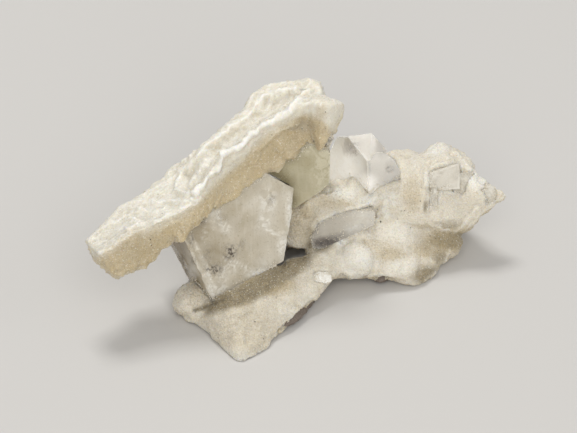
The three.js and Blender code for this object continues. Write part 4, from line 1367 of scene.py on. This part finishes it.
def crystal_finish(
    name, deep, cloud, tint, dust_and_shade, worn, clear, inside, gloss=0.1, turn=0.0, strength=0.4, shine=0.5, glow=0
):
    """A crystal with clouds, dust, worn edges and growth lines. Clear is the share of see-through light."""
    material, tree, shader, place = new_material(name)
    masks = {"Veil_Mask": mask(tree, "veil"), "Tint_Mask": mask(tree, "tint")}
    masks["Dust_Mask"] = mask(tree, "smudge")
    masks["Edge_Mask"] = mask(tree, "edge")
    colours = {"Deep": deep, "Cloud": cloud, "Tint": tint, "Dust": dust_and_shade, "Worn": worn}
    stretched = tree.nodes.new("ShaderNodeMapping")
    stretched.inputs["Rotation"].default_value = (0, 0, turn)
    stretched.inputs["Scale"].default_value = (1.0, LINE_STRETCH, LINE_STRETCH)
    tree.links.new(place, stretched.inputs["Vector"])
    along = stretched.outputs["Vector"]
    body = placed(tree, crystal_clouds, Place=place, Along=along, Gloss=gloss, **colours, **masks)
    lines = placed(tree, growth_lines, Along=along, Place=place, Strength=strength)
    tree.links.new(body["Colour"], shader.inputs["Base Color"])
    tree.links.new(body["Roughness"], shader.inputs["Roughness"])
    tree.links.new(lines["Normal"], shader.inputs["Normal"])
    shader.inputs["Transmission Weight"].default_value = clear
    shader.inputs["Specular IOR Level"].default_value = shine
    if glow:
        veil_light = mixed(tree, mask(tree, "veil"), (0.0, 0.0, 0.0), (1.0, 0.95, 0.86))
        tree.links.new(veil_light, shader.inputs["Emission Color"])
        shader.inputs["Emission Strength"].default_value = glow
    lit_inside(shader, *inside, radius=(1.0, 0.93, 0.82))
    print(name)
    return material


# %% Milky and greenish crystals
# Its tint is the brown of the left end, dark enough to also stand for painted shade.
milky = crystal_finish(
    "milky_apophyllite",
    deep=(0.62, 0.56, 0.44), cloud=(0.93, 0.9, 0.82), tint=(0.22, 0.155, 0.055), dust_and_shade=(0.13, 0.11, 0.09),
    worn=(0.9, 0.87, 0.78), clear=0.2, inside=(0.5, 3.0), gloss=0.08, turn=0.4, shine=0.3,
)
green = crystal_finish(
    "greenish_apophyllite",
    deep=(0.54, 0.485, 0.32), cloud=(0.76, 0.715, 0.54), tint=(0.32, 0.275, 0.155), dust_and_shade=(0.2, 0.17, 0.1),
    worn=(0.74, 0.71, 0.58), clear=0.25, inside=(0.4, 2.5), strength=0.5,
)
# Its dust colour is also the painted shade in the crevice crystal's hollow.
grey = crystal_finish(
    "grey_apophyllite",
    deep=(0.78, 0.73, 0.635), cloud=(0.92, 0.885, 0.8), tint=(0.27, 0.235, 0.205), dust_and_shade=(0.15, 0.135, 0.125),
    worn=(0.84, 0.81, 0.74), clear=0.35, inside=(0.4, 2.0), gloss=0.06, strength=0.5,
)

# %% Clear and frosted crystals
clear = crystal_finish(
    "clear_apophyllite",
    deep=(0.88, 0.855, 0.8), cloud=(0.98, 0.975, 0.95), tint=(0.56, 0.53, 0.49), dust_and_shade=(0.22, 0.2, 0.18),
    worn=(0.97, 0.96, 0.93), clear=0.35, inside=(0.5, 2.0), gloss=0.04, strength=0.5, glow=0.24,
)
small_clear = crystal_finish(
    "small_clear_apophyllite",
    deep=(0.86, 0.84, 0.77), cloud=(0.97, 0.96, 0.91), tint=(0.56, 0.53, 0.46), dust_and_shade=(0.3, 0.28, 0.24),
    worn=(0.97, 0.96, 0.93), clear=0.05, inside=NOT_INSIDE, gloss=0.06, strength=0.8,
)
frosted = crystal_finish(
    "frosted_apophyllite",
    deep=(0.58, 0.545, 0.465), cloud=(0.72, 0.69, 0.61), tint=(0.48, 0.44, 0.37), dust_and_shade=(0.4, 0.37, 0.31),
    worn=(0.86, 0.83, 0.75), clear=0.05, inside=(0.4, 1.2), gloss=0.14,
)

# %% Floor finish
floor_finish, _, floor_shader, _ = new_material("pale_floor")
floor_shader.inputs["Base Color"].default_value = (0.6, 0.59, 0.575, 1)
floor_shader.inputs["Roughness"].default_value = 0.7
floor.data.materials.append(floor_finish)
print(floor_finish.name)

# %% [markdown]
# ## Dressing
# Every piece rides on the one body, takes its finish, and, where it stands for an imported solid, hides
# it.

# %% Riding
CRYSTAL_FINISHES = {
    "large_crystal": (milky, "milky_apophyllite"),
    "rear_crystal": (green, "green_apophyllite"),
    "twin_crystals": (clear, "clear_apophyllite"),
    "crevice_crystal": (grey, "grey_apophyllite"),
    "inset_crystals": (frosted, "clear_apophyllite"),
    "tip_crystal": (frosted, "clear_apophyllite"),
    "hanging_crystal": (grey, "grey_apophyllite"),
    "edge_crystal": (small_clear, "clear_apophyllite"),
}


def dressed(piece, finish, node=None):
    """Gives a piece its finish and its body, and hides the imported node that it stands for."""
    piece.data.materials.clear()
    piece.data.materials.append(finish)
    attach(piece, "root")
    if node:
        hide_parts(node)
    print(piece.name, "wears", finish.name)


dressed(lower, lower_quartz, "quartz_matrix")
dressed(upper, upper_quartz, "quartz_blade")
dressed(rock, brown_rock, "rock_base")
dressed(lower_grains, lower_sugar)
dressed(upper_grains, upper_sugar)
dressed(foot_grains, lower_sugar)
dressed(specks, dark_mineral)
for node, piece in crystals.items():
    finish, slot = CRYSTAL_FINISHES[node]
    dressed(piece, finish, node)
